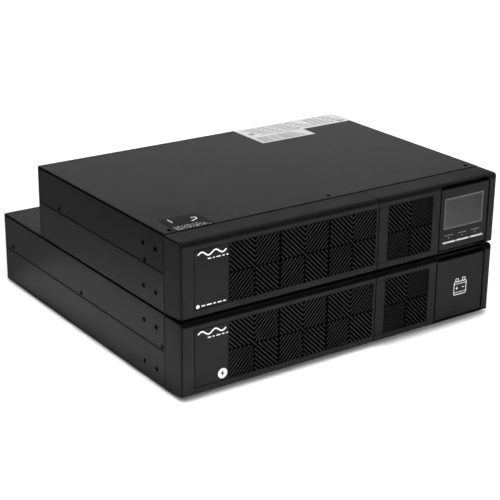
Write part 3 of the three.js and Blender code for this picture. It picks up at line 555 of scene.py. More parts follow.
BEZEL_GREY = (0.0138, 0.0138, 0.014)
MATERIALS = {
    "chassis_paint": powder_coat("chassis_paint", (0.0076, 0.0076, 0.0077), 0.42, 0.019),
    "zinc_steel": plated("zinc_steel", (0.42, 0.43, 0.44), brushed=(1, 12, 1)),
    "bezel_plastic": moulding("bezel_plastic", BEZEL_GREY, specular=0.01, wear=0.1, fold_shade=0.6, top=0.1),
    "louvre_plastic": moulding("louvre_plastic", (0.0195, 0.0195, 0.0197), roughness=0.42, specular=0.04),
    "module_plastic": moulding("module_plastic", (0.0075, 0.0075, 0.0077), roughness=0.4, specular=0.05),
    "lens_acrylic": lcd_glass("lens_acrylic"),
    "lcd_film": moulding("lcd_film", (0.1, 0.11, 0.1), roughness=0.3, wear=0.0),
    "circuit_board": circuit_board("circuit_board"),
    "key_white": moulding("key_white", (0.42, 0.42, 0.415), roughness=0.38, wear=0.0),
    "key_grey": moulding("key_grey", (0.45, 0.45, 0.44), roughness=0.4, wear=0.0),
    "battery_case": moulding("battery_case", (0.04, 0.042, 0.046), roughness=0.5, grain=0.8, depth=0.02),
    "heatsink_aluminium": plated("heatsink_aluminium", (0.6, 0.61, 0.62), 0.35, (1, 8, 1)),
    "capacitor_sleeve": moulding("capacitor_sleeve", (0.012, 0.02, 0.035), roughness=0.35),
    "copper_winding": plated("copper_winding", (0.6, 0.28, 0.12), 0.3, (1, 1, 14)),
    "fan_plastic": moulding("fan_plastic", (0.005, 0.005, 0.005), roughness=0.5, specular=0.04),
    "socket_plastic": moulding("socket_plastic", (0.008, 0.008, 0.008), roughness=0.35, grain=0.3),
    "connector_grey": moulding("connector_grey", (0.07, 0.075, 0.08)),
    "print_white": ink("print_white", 0.82),
    "label_paper": ink("label_paper", 0.56),
    "label_gloss": moulding("label_gloss", (0.007, 0.007, 0.007), specular=0.009, grain=3.0),
}
# a copy of the bezel plastic with more painted shade on its folds and a painted shadow on its upper faces
SHADED_PACK_BEZEL = moulding("pack_bezel_painted_shade", BEZEL_GREY, specular=0.01, wear=0.1, fold_shade=0.9, top=0.95)
# a darker copy of the louvre plastic: painted shade for the right inserts
SHADED_RIGHT_LOUVRE = moulding("right_louvre_plastic", (0.0135, 0.0135, 0.0137), roughness=0.42, specular=0.04)
PANEL_PLASTIC = moulding("panel_plastic", (0.0122, 0.0122, 0.0124), specular=0.015, wear=0.1)
BLACK_OXIDE = moulding("black_oxide", (0.0008, 0.0008, 0.0008), roughness=0.5, specular=0.0, wear=0.1)
FILTER_FOAM = foam("filter_foam")
# near-black painted shade for the louvre webs and the shade lines
SHADE_BLACK = painted_shade_plastic("shade_black")
FRAME_INK = ink("frame_ink", 0.055)
SHADE_INK = ink("shade_ink", 0.009)
GREY_INK = ink("grey_ink", 0.15)
PALE_INK = ink("pale_ink", 0.3)


# ---------- carried-over CAD nodes ----------

def shading_group():
    """Node group that drops imported normals, shades smooth and marks edges over SHARP_ANGLE as sharp."""
    group = bpy.data.node_groups.new("shade_by_angle", "GeometryNodeTree")
    for way in ("INPUT", "OUTPUT"):
        group.interface.new_socket("Geometry", in_out=way, socket_type="NodeSocketGeometry")
    start, drop, smooth, mark, end = (group.nodes.new(kind) for kind in (
        "NodeGroupInput",
        "GeometryNodeRemoveAttribute",
        "GeometryNodeSetShadeSmooth",
        "GeometryNodeStoreNamedAttribute",
        "NodeGroupOutput",
    ))
    drop.inputs["Name"].default_value = "custom_normal"
    mark.data_type = "BOOLEAN"
    mark.domain = "EDGE"
    mark.inputs["Name"].default_value = "sharp_edge"
    for before, after in ((start, drop), (drop, smooth), (smooth, mark), (mark, end)):
        group.links.new(before.outputs[0], after.inputs[0])
    angle = group.nodes.new("GeometryNodeInputMeshEdgeAngle")
    compare = group.nodes.new("FunctionNodeCompare")
    compare.operation = "GREATER_THAN"
    compare.inputs["B"].default_value = SHARP_ANGLE
    group.links.new(angle.outputs["Unsigned Angle"], compare.inputs["A"])
    group.links.new(compare.outputs[0], mark.inputs["Value"])
    return group


SHADING = shading_group()
WELD_REACH = 0.01
FLAT_ANGLE = math.radians(0.5)  # facets that lean less than this from each other become one
PLAIN_EDGE = 0.25
EDGE_WIDTH = {
    "bezel_plastic": 0.45,
    "module_plastic": 0.7,
    "key_white": 0.3,
    "lens_acrylic": 0.3,
    "battery_case": 1.2,
}


def refine_node(name, slot):
    """Welds and cleans a CAD node's facets, rounds its sharp edges and gives it its material."""
    node = frame["nodes"][name]
    node.data.materials.clear()
    # the pack's bezels take the copy with more painted shade
    on_pack = name.startswith("pack_bezel")
    node.data.materials.append(SHADED_PACK_BEZEL if on_pack else MATERIALS[slot])
    weld = node.modifiers.new("weld", "WELD")
    weld.merge_threshold = WELD_REACH * MM
    planar = node.modifiers.new("planar", "DECIMATE")
    planar.decimate_type = "DISSOLVE"
    planar.angle_limit = FLAT_ANGLE
    shade = node.modifiers.new("shade", "NODES")
    shade.node_group = SHADING
    ease_edges(node, EDGE_WIDTH.get(slot, PLAIN_EDGE))


for part in frame["record"]["subparts"]:
    refine_node(part["node"], part["material_slot"])


# ---------- louvred inserts ----------

TURNS = {"up": (0, 1), "right": (1, 0), "down": (0, -1), "left": (-1, 0)}


def chevron(at, turn, near, reach, apart):
    """Bars of one chevron whose tip is near the cell's centre and whose arms reach the cell's edge.

    Lengths are shares of the cell's half size. Where apart is true, the arms don't meet at the tip.
    """
    ahead_u, ahead_v = TURNS[turn]

    def place(a, b):
        """The place a across the chevron's way and b along it."""
        return at(b * ahead_u + a * ahead_v, b * ahead_v - a * ahead_u)

    arm = reach - near
    if arm < 0.02:  # too short to show
        return []
    if apart:
        gap = 0.035
        return [[place(way * gap, near + gap), place(way * arm, reach)] for way in (-1, 1)]
    tip = 0.03
    middle = [place(-tip, near + tip), place(0, near + tip * 0.45), place(tip, near + tip)]
    return [[place(-arm, reach), *middle, place(arm, reach)]]


def louvre_bars(shape, centre, first, last):
    """The bars of one cell: two crossing diagonals and five chevrons on each side."""
    half_u = LOUVRE_CELL / 2
    half_v = (GRILLE_Z[1] - GRILLE_Z[0]) / 2

    def at(share_u, share_v):
        return centre[0] + share_u * half_u, centre[1] + share_v * half_v

    edge, border = (1 - gap / half_u for gap in (LOUVRE_BAR * 0.6, LOUVRE_BORDER))
    left, right = edge if first else border, edge if last else border
    reach = {"up": edge, "right": right, "down": edge, "left": left}
    clear = 0.06  # the rising diagonal stops short of the falling one
    paths = [
        [at(-left, left), at(right, -right)],
        [at(clear, clear), at(right, right)],
        [at(-clear, -clear), at(-left, -left)],
    ]
    for turn in TURNS:
        for i in range(1, LOUVRE_STEPS):
            paths += chevron(at, turn, i / LOUVRE_STEPS, reach[turn], turn != "up")
    for path in paths:
        shape.bar(path, LOUVRE_BAR, -LOUVRE_BLADE, LOUVRE_TOP, edge=0.12)


def louvre_insert(unit, side):
    """A louvred insert: bars, the webs and lip behind them, a dust filter and a blank field."""
    insert, lip, first_cell, cells = INSERTS[side]
    face = Face(unit, "front", 0)
    body = f"{unit.name}_{side}_bezel"
    end = first_cell + cells * LOUVRE_CELL
    middle = sum(GRILLE_Z) / 2

    bars = Shape(face)
    for cell in range(cells):
        centre = (first_cell + (cell + 0.5) * LOUVRE_CELL, middle)
        louvre_bars(bars, centre, cell == 0, cell == cells - 1)
    # the right insert's bars get the copy with painted shade
    tone = MATERIALS["louvre_plastic"] if side == "left" else SHADED_RIGHT_LOUVRE
    bars.build(f"{unit.name}_louvre_bars_{side}", body, "louvre_plastic", tone)

    carrier = Shape(face)
    window = rectangle(grown((first_cell, end), -0.8), grown(GRILLE_Z, -0.8))
    back = -LOUVRE_DEPTH
    carrier.plate(rectangle(lip, grown(GRILLE_Z, LIP_REACH)), back - LOUVRE_LIP, back, [window])
    carrier.plate(rectangle((first_cell, end), GRILLE_Z), back, -LOUVRE_BLADE, [window])
    sunk = 0.6  # the webs reach this far into the window's edges and the lip
    depth = (back - sunk, -LOUVRE_BLADE)
    inner = grown(GRILLE_Z, -sunk)
    for cell in range(cells):
        left = first_cell + cell * LOUVRE_CELL
        centre, right = left + LOUVRE_CELL / 2, left + LOUVRE_CELL
        carrier.box(about(centre, LOUVRE_RIB), (inner[0], middle), depth)
        carrier.box((centre, right - sunk), about(middle, LOUVRE_RIB), depth)
        if cell < cells - 1:
            carrier.box(about(right, LOUVRE_RIB), inner, depth)
    # the webs and lip behind the bars are near-black painted shade
    carrier.build(f"{unit.name}_louvre_carrier_{side}", body, "louvre_plastic", SHADE_BLACK)

    dust_filter = Shape(face)
    sheet = rounded(grown(lip, -0.5), grown(GRILLE_Z, LIP_REACH - 0.5), 1)
    dust_filter.plate(sheet, back - LOUVRE_LIP - FILTER_SHEET, back - LOUVRE_LIP - 0.02)
    dust_filter.build(f"{unit.name}_dust_filter_{side}", body, "louvre_plastic", FILTER_FOAM)

    blank = Shape(face)
    field = grown((insert[0], first_cell), -PANEL_INSET)
    blank.plate(rounded(field, grown(GRILLE_Z, -PANEL_INSET), 0.5), back, 0)
    name = f"{unit.name}_insert_panel_{side}"
    node = f"{unit.name}_grille_{side}"
    blank.build(name, body, "louvre_plastic", PANEL_PLASTIC, replaces=[node], bevel=0.25)


# ---------- marks ----------

def stroke(shape, path, width, level=0.0, height=PRINT):
    """A printed line along a path."""
    shape.bar(path, width, level, level + height)


def wave_mark(shape, u, v, length, height, width):
    """A sine wave of two periods, drawn as one stroke."""
    steps = 32
    shares = [i / steps for i in range(steps + 1)]
    path = [(u + length * t, v + height * math.sin(t * 4 * math.pi)) for t in shares]
    stroke(shape, path, width)


def dash_line(shape, u, v, lengths, gap, width, level=0.0):
    """A row of dashes from u on."""
    for length in lengths:
        stroke(shape, [(u + width / 2, v), (u + length - width / 2, v)], width, level)
        u += length + gap


def ring(shape, u, v, outer, inner):
    """A printed ring between two radii."""
    shape.plate(circle(u, v, outer), 0, PRINT, [circle(u, v, inner)])


def bolt_outline(u, v, size):
    """A lightning bolt."""
    outline = [(0.25, 1), (-0.6, -0.15), (-0.08, -0.15), (-0.25, -1), (0.6, 0.15), (0.08, 0.15)]
    return [(u + a * size, v + b * size) for a, b in outline]


def badge(unit):
    """White marks on the blank field: a wave over a row of dashes, and a round sign at the foot."""
    marks = Shape(Face(unit, "front", 0))
    wave_mark(marks, u=-198.5, v=71.5, length=34, height=2.2, width=1.5)
    dash_line(marks, -187, 65.4, (4.4, 2.6, 5.2, 3.2, 2.6), gap=1.9, width=1.1)
    if unit.name == "ups":
        marks.plate(circle(-199, 14.6, 2.1, 20), 0, PRINT)
        dash_line(marks, -194.5, 14.6, (4.4, 6.2, 3.4, 5.2, 3.4), gap=1.9, width=1.2)
    else:
        sign = (-168, 19.4)
        marks.plate(circle(*sign, 5.8), 0, PRINT, [bolt_outline(*sign, 4.7)])
    marks.build(f"{unit.name}_badge_marks", f"{unit.name}_left_bezel", "print_white")


def display_marks(unit):
    """Legends over the keys: a short row of dashes and a small sign for each."""
    marks = Shape(Face(unit, "front", MODULE_STEP))
    for u in KEY_CENTRES:
        dash_line(marks, u - 6.5, 23.8, (3.4, 4.2, 3.6), gap=0.7, width=0.9)
    dot, arrow, tick = KEY_CENTRES
    level = 20.4
    ring(marks, dot, level, 1.1, 0.6)
    stroke(marks, [(arrow - 0.6, level + 1), (arrow + 0.6, level), (arrow - 0.6, level - 1)], 0.5)
    stroke(marks, [(tick - 1.5, level), (tick - 0.5, level - 0.8), (tick + 1.5, level + 1)], 0.5)
    marks.build("display_legends", "display_module", "print_white", GREY_INK)


def display_border(unit):
    """Thin frame round the window, and the shadow that its top and right edges cast."""
    face = Face(unit, "front", MODULE_STEP)
    border = Shape(face)
    outer = rounded(grown(LCD_X, 0.3), grown(LCD_Z, 0.3), 0.6)
    inner = rounded(grown(LCD_X, -0.9), grown(LCD_Z, -0.9), 0.4)
    border.plate(outer, -0.4, 0.12, [inner])
    border.build("display_frame", "display_module", "print_white", FRAME_INK, bevel=0.1)
    shade = Shape(face)
    (left, right), (low, high) = grown(LCD_X, -1.1), grown(LCD_Z, -1.1)
    under, beside = high - 1.0, right - 1.3
    corner = [(right, low), (right, high), (left, high), (left, under), (beside, under), (beside, low)]
    shade.plate(corner, 0, PRINT)
    shade.build("display_shade", "display_module", "print_white", SHADE_INK)


# the painted shade lines lie in this span
SHADE_LINE_LEVELS = (-0.05, 0.04)  # from just under the paint to just above it


def painted_shade_lines(unit):
    """Near-black strips of painted shade along the cover's folds and lower edges and the top edges of the
    bezels' sides.
    """
    seam = (COVER_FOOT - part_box("ups_chassis_tray")[0].z) / MM
    start, end = BEZEL_DEPTH + 1.8, unit.depth - 5.2
    for side in ("left", "right"):
        face = Face(unit, side, unit.half_width)
        lines = Shape(face)
        for level, width in ((unit.height - 1.25, 2.0), (seam, 1.5)):
            lines.bar([(start, level), (end, level)], width, *SHADE_LINE_LEVELS)
        lines.build(f"{unit.name}_edge_lines_{side}", STACK, "chassis_paint", SHADE_BLACK)
        edge = Shape(face)
        level = (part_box(f"{unit.name}_bezel_{side}")[1].z - unit.origin.z) / MM - 1.0
        # painted shade along the top edge of the bezel's side
        edge.bar([(5.5, level), (BEZEL_DEPTH - 0.8, level)], 1.6, *SHADE_LINE_LEVELS)
        body = f"{unit.name}_{side}_bezel"
        edge.build(f"{unit.name}_bezel_edge_{side}", body, "bezel_plastic", SHADE_BLACK)


def module_shade_ring(unit, body):
    """Near-black ring of painted shade round the face of a module, widest on the left."""
    shade_ring = Shape(Face(unit, "front", MODULE_STEP))
    (left, right), (low, high) = MODULE_X, MODULE_Z
    outline = rounded(grown(MODULE_X, -0.05), grown(MODULE_Z, -0.05), 0.6)
    window = rounded((left + 1.4, right - 0.9), (low + 0.15, high - 0.4), 0.6)
    shade_ring.plate(outline, -0.5, 0.06, [window])
    shade_ring.build(f"{body}_seal", body, "module_plastic", SHADE_BLACK)


def battery_sign(unit):
    """Outline of a battery with two terminals, a plus and a minus."""
    sign = Shape(Face(unit, "front", MODULE_STEP))
    u, v = (161.6, 181.4), (32.8, 49.8)
    line, thin = 0.7, 0.6
    sign.plate(rounded(u, v, 2.0), 0, PRINT, [rounded(grown(u, -line), grown(v, -line), 1.4)])
    for level in grown(v, -3.2):
        stroke(sign, [(u[0] + 1, level), (u[1] - 1, level)], 0.5)
    foot, top = v[1] - 0.3, v[1] + 4
    for centre in (166.2, 176.8):
        outer = rounded(about(centre, 2.6), (foot, top), 1.6)
        inner = rounded(about(centre, 2.0), (foot + thin, top - thin), 1.1)
        sign.plate(outer, 0, PRINT, [inner])
    middle = sum(v) / 2
    plus, minus, half = 166.5, 176.5, 1.7
    stroke(sign, [(plus - half, middle), (plus + half, middle)], thin)
    stroke(sign, [(plus, middle - half), (plus, middle + half)], thin, height=PRINT * 1.2)
    stroke(sign, [(minus - half, middle), (minus + half, middle)], thin)
    sign.build("battery_sign", "blank_module", "print_white")


# ---------- labels and screws ----------

def screw(shape, u, v, radius, height, turn=20):
    """Pan-head screw with a cross recess; turn is the angle of its cross in degrees."""
    base = height * 0.35
    shape.turned(u, v, [(0, -0.4), (radius, -0.4), (radius, base), (0, base)], 20)
    arm, half = radius * 0.62, radius * 0.16
    cross = []
    for quarter in range(4):
        spin = math.radians(turn + 90 * quarter)
        across, along = math.cos(spin), math.sin(spin)
        for a, b in ((half, half), (half, arm), (-half, arm)):
            cross.append((u + a * across - b * along, v + a * along + b * across))
    shape.plate(circle(u, v, radius, 20), height * 0.3, height, [cross])


STRIP_ROWS = (  # height of each row of the hatched strip, and the lengths of its dashes
    (36.4, (9, 2, 4, 1.5, 5, 2, 3, 1.6, 2)),
    (39.2, (4, 6, 1.5, 3, 2, 5, 1.6, 4)),
    (42.0, (7, 1.5, 3, 5, 2, 2, 4, 1.6)),
    (44.8, (3, 4, 2, 6, 1.5, 2, 3)),
)


def top_label(unit):
    """Dark glossy sticker near the front edge, with two strokes and a hatched strip."""
    face = Face(unit, "top", unit.height)
    film = Shape(face)
    film.plate(rounded((-203, -155), (35, 72.5), 1.5), 0, LABEL)
    film.build("top_sticker", STACK, "label_gloss")
    marks = Shape(face)
    stroke(marks, [(-192.5, 59.0), (-192.5, 68.5)], 1.2, LABEL)
    stroke(marks, [(-167.5, 62.0), (-163, 61.0), (-163.5, 56.5), (-172.0, 52.5)], 1.2, LABEL)
    marks.build("top_sticker_marks", STACK, "print_white")
    strip = Shape(face)
    for v, lengths in STRIP_ROWS:
        dash_line(strip, -200.5, v, lengths, 1.5, 1.3, LABEL)
    strip.build("top_sticker_strip", STACK, "print_white", PALE_INK)


def rating_labels(unit):
    """Pale paper labels at the rear edge, with grey blocks and lines."""
    face = Face(unit, "top", unit.height)
    paper = Shape(face)
    outline = [(59, 248.5), (140.5, 248.5), (140.5, 275), (217, 275), (217, 314.6), (59, 314.6)]
    paper.plate(outline, 0, LABEL)
    paper.build("rating_label", STACK, "label_paper")
    marks = Shape(face)
    for i in range(6):
        v = 253 + i * 3.6
        dash_line(marks, 63, v, (18, 9, 24 - 2 * i, 10), 2.0, 1.7, LABEL)
    dash_line(marks, 96, 277.6, (36,), 0, 0.8, LABEL)
    for i in range(5):
        v = 283 + i * 6
        dash_line(marks, 80 - 3 * i, v, (20, 12, 26, 16 - i), 3.0, 2.0, LABEL)
        dash_line(marks, 163, v, (34 - 3 * i, 14), 3.0, 2.2, LABEL)
    for u, v, half in ((69.5, 289, 3.5), (136, 279.5, 1.6), (206, 281, 2.5)):
        marks.plate(rounded(about(u, half), about(v, half), 0.4), LABEL, LABEL + PRINT)
    marks.build("rating_label_print", STACK, "print_white", GREY_INK)


EAR_HOLE_Y = (50, 75)
EAR_HOLE_Z = (18, 66.5)
EAR_NUT = (  # radius and height round a collared blind nut
    (0, -4.0), (2.1, -4.0), (2.1, -0.1), (2.9, -0.1),
    (2.9, 0.15), (1.9, 0.15), (1.7, -0.3), (1.7, -3.6), (0, -3.6),
)


def side_screw_places(unit):
    """Distance from the front and height of the screws on one side."""
    if unit.name == "ups":
        return [(72, 48), (unit.depth - 52, 49.3)]
    return [(38.5, 48), (216, 48.6), (unit.depth - 22, 49.8)]


def chassis_screws(unit):
    """Cover screws on the top and the sides, and the nuts for the rack ears."""
    if unit.name == "ups":
        top = Shape(Face(unit, "top", unit.height))
        for u, v in ((-207.5, 41), (0, 40.5), (207.3, 41.7)):
            screw(top, u, v, 2.4, 0.3)
        top.build("ups_top_screws", STACK, "chassis_paint", BLACK_OXIDE)
    for side in ("left", "right"):
        heads = Shape(Face(unit, side, unit.half_width))
        for u, v in side_screw_places(unit):
            screw(heads, u, v, 2.6, 0.25)
        for u in EAR_HOLE_Y:
            for v in EAR_HOLE_Z:
                heads.turned(u, v, EAR_NUT, 20)
        heads.build(f"{unit.name}_side_screws_{side}", STACK, "chassis_paint", BLACK_OXIDE)


# ---------- rear panels ----------

RIM = 2.8  # the rear panels lie this far inside their folded rims
SOCKET_STEP = 2.4  # sockets stand this far out of the rear panel
PORT_STEP = 1.6
OUTLET_X = (20.5, 54, 87.5)
OUTLET_Z = (28, 60)
OUTLET_SLOTS = ((-6, -1), (6, -1), (0, 2.5))
OUTLET_SLEEVE = (2.36, 4.96)  # width and height of a contact, and of the slot in it
OUTLET_SLOT = (1.5, 4.1)
INLET = (140, 60)
INLET_PINS = ((-7, -1.5), (7, -1.5), (0, 3))
INLET_PIN = (2.3, 4.3)
INLET_SCREW = 20
DC_SOCKETS = {"ups": ((140, 24),), "pack": ((150, 24), (150, 60))}
DC_CONTACT = (9.5, -4.4)  # places from the middle of the socket
DC_BLADE = (8.3, 2.3)
DC_RIVET = 21.5
BREAKER = (190, 60)
BREAKER_RING = (8.4, 5.4)
FAN = (-165, 44)
FAN_SCREW = 35.75
USB = ((-110, -98), (12.2, 24.2))
SERIAL = ((-86, -54), (12.2, 24.2))
SERIAL_SHELL = ((-80, -60), (14.2, 22.2))
STANDOFF = ((0, -1.8), (2.4, -1.8), (2.4, 0.6), (1.3, 0.6), (1.2, -0.8), (0, -0.8))  # radius and height
SERIAL_PIN = ((0, 0.1), (0.6, 0.1), (0.5, 0.45), (0, 0.5))
PIN_PITCH = 2.8
CLAMP_X = (-35, -25)
PORT_ROW = 18.2  # height of the middle of the ports


def rear_face(unit, step=0.0):
    """The face of the rear panel, or a plane that stands a step out of it."""
    return Face(unit, "rear", unit.depth - RIM + step)


def panel_screws(unit):
    """Zinc-plated screws that hold the rear panel and, on the power module, the fan."""
    heads = Shape(rear_face(unit))
    low, high = 8, 80
    places = [(-212, low), (-212, high), (212, low), (212, high)]
    if unit.name == "ups":
        places += [(111.5, 43), (172, 43)]
        places += [(FAN[0] + a * FAN_SCREW, FAN[1] + b * FAN_SCREW) for a in (-1, 1) for b in (-1, 1)]
    else:
        places += [(0, low), (0, high), (110, low), (110, high)]
    for turn, (u, v) in enumerate(places):
        screw(heads, u, v, 2.7, 1.1, 15 + 31 * turn)
    heads.build(f"{unit.name}_rear_screws", STACK, "chassis_paint", MATERIALS["zinc_steel"], bevel=0.15)


def legend(shape, u, v, lengths):
    """A short centred row of dashes."""
    gap, width = 1.2, 1.0
    dash_line(shape, u - (sum(lengths) + gap * (len(lengths) - 1)) / 2, v, lengths, gap, width)


REAR_LEGENDS = {  # middle of each row of dashes, and their lengths
    "ups": (
        (-104, 7.6, (4, 3)), (-70, 7.6, (5, 3, 4)), (-30, 7.6, (3, 5)), (-64, 41.5, (6, 4, 5)),
        (54, 83, (7, 4, 6)), (140, 77.5, (5, 4)), (190, 76, (4, 3)), (140, 42.5, (3, 5, 3)),
    ),
    "pack": ((150, 42, (5, 3, 5)), (150, 78, (4, 6)), (80, 75, (6, 3, 4))),
}
EARTH_SIGN = (190, 12.5)
SWITCH_X = 80


def rear_print(unit):
    """Printed dashes at the sockets, the earth sign and the switch signs."""
    marks = Shape(rear_face(unit))
    for u, v, lengths in REAR_LEGENDS[unit.name]:
        legend(marks, u, v, lengths)
    if unit.name == "ups":
        u, v = EARTH_SIGN
        stroke(marks, [(u, v + 3), (u, v)], 0.7)
        for drop, half in ((0, 3.2), (1.4, 2.1), (2.8, 1.0)):
            stroke(marks, [(u - half, v - drop), (u + half, v - drop)], 0.7)
    else:
        stroke(marks, [(SWITCH_X, 61.5), (SWITCH_X, 65.5)], 0.9)
        ring(marks, SWITCH_X, 24.5, 2.3, 1.5)
    marks.build(f"{unit.name}_rear_print", STACK, "print_white")


def socket_contacts(unit):
    """Metal contacts in the outlets, the inlet and the direct-current sockets."""
    metal = Shape(rear_face(unit, SOCKET_STEP))
    if unit.name == "ups":
        for x in OUTLET_X:
            for z in OUTLET_Z:
                for dx, dz in OUTLET_SLOTS:
                    slot = centred(x + dx, z + dz, *OUTLET_SLOT)
                    metal.plate(centred(x + dx, z + dz, *OUTLET_SLEEVE), -12, -0.6, [slot])
        for dx, dz in INLET_PINS:
            metal.plate(centred(INLET[0] + dx, INLET[1] + dz, *INLET_PIN), -18, -2.8)
        for side in (-1, 1):
            screw(metal, INLET[0] + side * INLET_SCREW, INLET[1], 2.6, 0.38, 20 * side)
        outer, inner = (circle(*BREAKER, radius, 40) for radius in BREAKER_RING)
        metal.plate(outer, 0, 0.35, [inner])
    for x, z in DC_SOCKETS[unit.name]:
        for side in (-1, 1):
            metal.plate(centred(x + side * DC_CONTACT[0], z + DC_CONTACT[1], *DC_BLADE), -20, -3.8)
            metal.plate(circle(x + side * DC_RIVET, z, 1.6, 16), -0.1, 0.3)
    metal.build(f"{unit.name}_socket_metal", STACK, "zinc_steel", bevel=0.1)


def port_shells(unit):
    """Metal shells, dark inserts and standoffs of the data ports and the clamps of the terminal block."""

    def around(port, amount):
        return grown(port[0], amount), grown(port[1], amount)

    face = rear_face(unit, PORT_STEP)
    metal = Shape(face)
    metal.plate(rectangle(*around(USB, 0.3)), -12, 0.15, [rectangle(*around(USB, -1.15))])
    metal.plate(rounded(*around(SERIAL, 0.3), 0.8), -2.6, -1.75)
    window = rounded(*around(SERIAL_SHELL, -0.5), 1.0)
    metal.plate(rounded(*around(SERIAL_SHELL, 0.35), 1.4), -1.8, 0.9, [window])
    for u in grown(SERIAL_SHELL[0], 3.3):
        metal.turned(u, PORT_ROW, STANDOFF, 6)
    for u in CLAMP_X:
        metal.plate(centred(u, PORT_ROW, 5.9, 5.9), -7.6, -0.5, [centred(u, PORT_ROW, 4.5, 4.5)])
    middle = sum(SERIAL_SHELL[0]) / 2
    for row, count in ((PORT_ROW + 1.4, 5), (PORT_ROW - 1.4, 4)):
        for i in range(count):
            metal.turned(middle + (i - (count - 1) / 2) * PIN_PITCH, row, SERIAL_PIN, 10)
    metal.build("ups_port_shells", STACK, "zinc_steel")
    dark = Shape(face)
    dark.plate(rounded(*around(SERIAL_SHELL, -0.3), 0.8), -0.2, 0.2)
    dark.box((-106.6, -101.4), (16.8, 20.2), (-13, -3.8))
    dark.build("ups_port_inserts", STACK, "socket_plastic", bevel=0.15)


def cover_ribs(unit):
    """Two pressed ribs on the cover of the card slot."""
    ribs = Shape(rear_face(unit, 1.5))
    for level in (54.5, 71.5):
        ribs.bar([(-107, level), (-21, level)], 3.0, -0.1, 0.7, edge=0.5)
    ribs.build("ups_slot_cover_ribs", STACK, "chassis_paint")


# ---------- batteries ----------

BATTERY_LABEL = ((14, 80), (38, 113))  # all from the battery's lower front left corner
BATTERY_TABS = (20, 131)
TAB_SLEEVE = ((94.1, 99.1), (-3.3, 3.3), (39.9, 40.9))


def battery_details(unit, body, numbers):
    """Paper labels with printed bars on the lids and bright sleeves on the terminal tabs."""
    face = Face(unit, "top", 0)
    paper, marks, metal = Shape(face), Shape(face), Shape(face)
    for number in numbers:
        low, high = ((corner - unit.origin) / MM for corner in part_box(f"{unit.name}_battery_{number}"))
        left, right = moved(BATTERY_LABEL[0], low.x)
        front, rear = moved(BATTERY_LABEL[1], low.y)
        paper.plate(rounded((left, right), (front, rear), 2), high.z, high.z + LABEL)
        printed = high.z + LABEL
        for i in range(5):
            lengths = (23.6, 10.6, 15.6 - 2 * i)
            dash_line(marks, left + 5.2, front + 8 + i * 9, lengths, 1.4, 1.6, printed)
        stroke(marks, [(left + 6, rear - 12), (right - 6, rear - 12)], 9, printed)
        for tab in BATTERY_TABS:
            corner = (low.x, low.y + tab, low.z)
            metal.box(*(moved(span, start) for span, start in zip(TAB_SLEEVE, corner)))
    paper.build(f"{body}_battery_labels", body, "label_paper")
    marks.build(f"{body}_battery_print", body, "print_white", GREY_INK)
    metal.build(f"{body}_battery_tabs", body, "zinc_steel", bevel=0.1)


# ---------- camera, floor and light ----------

CAMERA_PLACE = (-0.9134, -1.3127, 0.6610)
CAMERA_TURN = (-0.614, -0.36, 0.012)  # yaw, pitch and roll in radians
FOCAL_LENGTH = 100.03
BACKDROP_GLOW = 0.05
WORLD_GLOW = 0.08


def camera():
    """The view from the front left, a little above the top."""
    data = bpy.data.cameras.new("camera")
    data.sensor_width = 36
    data.lens = FOCAL_LENGTH
    seen = added("camera", data)
    yaw, pitch, roll = CAMERA_TURN
    turns = ((yaw, "Z"), (math.pi / 2 + pitch, "X"), (roll, "Z"))
    heading, tilt, lean = (Matrix.Rotation(angle, 4, axis) for angle, axis in turns)
    seen.matrix_world = Matrix.Translation(CAMERA_PLACE) @ heading @ tilt @ lean
    bpy.context.scene.camera = seen


def staged(name, points, faces, material):
    """A piece of the stage, which is no part of the object."""
    mesh = bpy.data.meshes.new(name)
    mesh.from_pydata(points, [], faces)
    mesh.materials.append(material)
    added(name, mesh)


def floor():
    """Plain pale floor."""
    s = Surface("floor", specular=0.2)
    base = s.mix(s.drift(400, detail=3.0), grey(0.86), grey(0.9))
    material = s.finish(base, 0.8, s.bump(s.noise(4.0), 0.02))
    reach, below = 8.0, -0.0002
    corners = [(x, y, below) for x, y in rectangle((-reach, reach), (-reach, reach))]
    staged("floor", corners, [(0, 1, 2, 3)], material)


def backdrop():
    """Softly glowing white wall all round."""
    s = Surface("backdrop", specular=0.0)
    s.shader.inputs["Emission Color"].default_value = grey(1.0)
    s.shader.inputs["Emission Strength"].default_value = BACKDROP_GLOW
    material = s.finish(grey(0.8), 0.9)
    sides, radius, height = 64, 5.0, 2.2
    points = [(x, y, z) for z in (0, height) for x, y in circle(0, 0, radius, sides)]
    faces = [(i, (i + 1) % sides, (i + 1) % sides + sides, i + sides) for i in range(sides)]
    staged("backdrop", points, faces, material)


def softbox(name, centre, target, size, power, spread=180, reflected=False):
    """A rectangular light that looks at its target; the object mirrors it only where reflected is true."""
    data = bpy.data.lights.new(name, "AREA")
    data.shape = "RECTANGLE"
    data.size, data.size_y = size
    data.energy = power
    data.spread = math.radians(spread)
    light = added(name, data)
    light.location = centre
    light.rotation_mode = "QUATERNION"
    light.rotation_quaternion = (Vector(target) - Vector(centre)).to_track_quat("-Z", "Y")
    light.visible_glossy = reflected


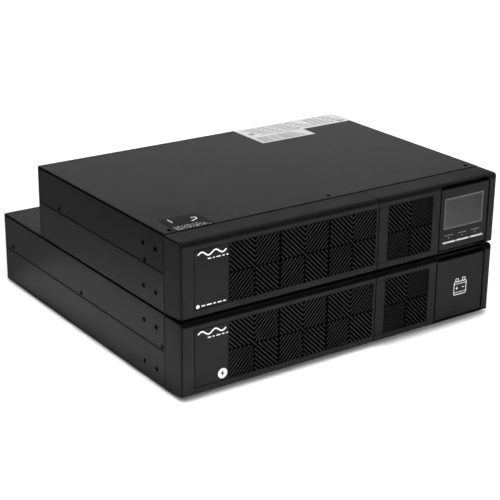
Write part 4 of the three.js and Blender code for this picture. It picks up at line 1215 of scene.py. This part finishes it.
def studio():
    """A white tent: a softbox overhead, two mirrored ones behind, three fills and five for the floor."""
    world = bpy.data.worlds.new("studio")
    world.use_nodes = True
    background = world.node_tree.nodes["Background"]
    background.inputs["Color"].default_value = grey(1.0)
    background.inputs["Strength"].default_value = WORLD_GLOW
    bpy.context.scene.world = world
    backdrop()
    softbox("overhead", (2.1, 1.8, 3.0), (2.1, 1.8, 0), (5.0, 5.0), 200)
    softbox("behind", (1.7, 2.9, 1.1), (0, 0, 0.1), (2.4, 1.0), 10.8, reflected=True)
    softbox("high", (1.3, 2.3, 2.4), (0, 0, 0.1), (2.4, 1.2), 3.5, reflected=True)
    softbox("front_fill", (0.9, -2.6, 0.5), (0, 0, 0.1), (1.8, 0.8), 50)
    softbox("rear_fill", (0.2, 3.2, 0.6), (0, 0.2, 0.1), (1.6, 0.8), 70)
    softbox("right_fill", (3.2, 0.3, 0.6), (0.2, 0, 0.1), (0.8, 0.8), 60)
    for name, x, y, height, size, power, spread in (
        ("left_floor", -0.83, -0.2, 0.6, (1.1, 1.8), 2.6, 8),
        ("front_floor", 0.2, -0.83, 0.6, (1.7, 1.1), 8, 8),
        ("left_pool", -0.278, -0.035, 0.3, (0.1, 0.49), 0.58, 6),
        ("front_pool", -0.14, -0.268, 0.3, (0.36, 0.1), 0.32, 6),
        ("right_pool", 0.14, -0.268, 0.3, (0.2, 0.1), 0.07, 6),
    ):
        softbox(name, (x, y, height), (x, y, 0), size, power, spread)
    bpy.context.scene.view_settings.view_transform = "Standard"


# ---------- assembly ----------

UPS = Unit("ups")
PACK = Unit("pack")

camera()
floor()
studio()
for unit in (UPS, PACK):
    for side in INSERTS:
        louvre_insert(unit, side)
    badge(unit)
    chassis_screws(unit)
    painted_shade_lines(unit)
    panel_screws(unit)
    rear_print(unit)
    socket_contacts(unit)
display_marks(UPS)
display_border(UPS)
module_shade_ring(UPS, "display_module")
module_shade_ring(PACK, "blank_module")
battery_sign(PACK)
top_label(UPS)
rating_labels(UPS)
port_shells(UPS)
cover_ribs(UPS)
battery_details(UPS, "ups_battery_drawer", (1, 2))
battery_details(PACK, "pack_battery_drawer", (1, 2, 3, 4))
battery_details(PACK, STACK, (5, 6, 7, 8))
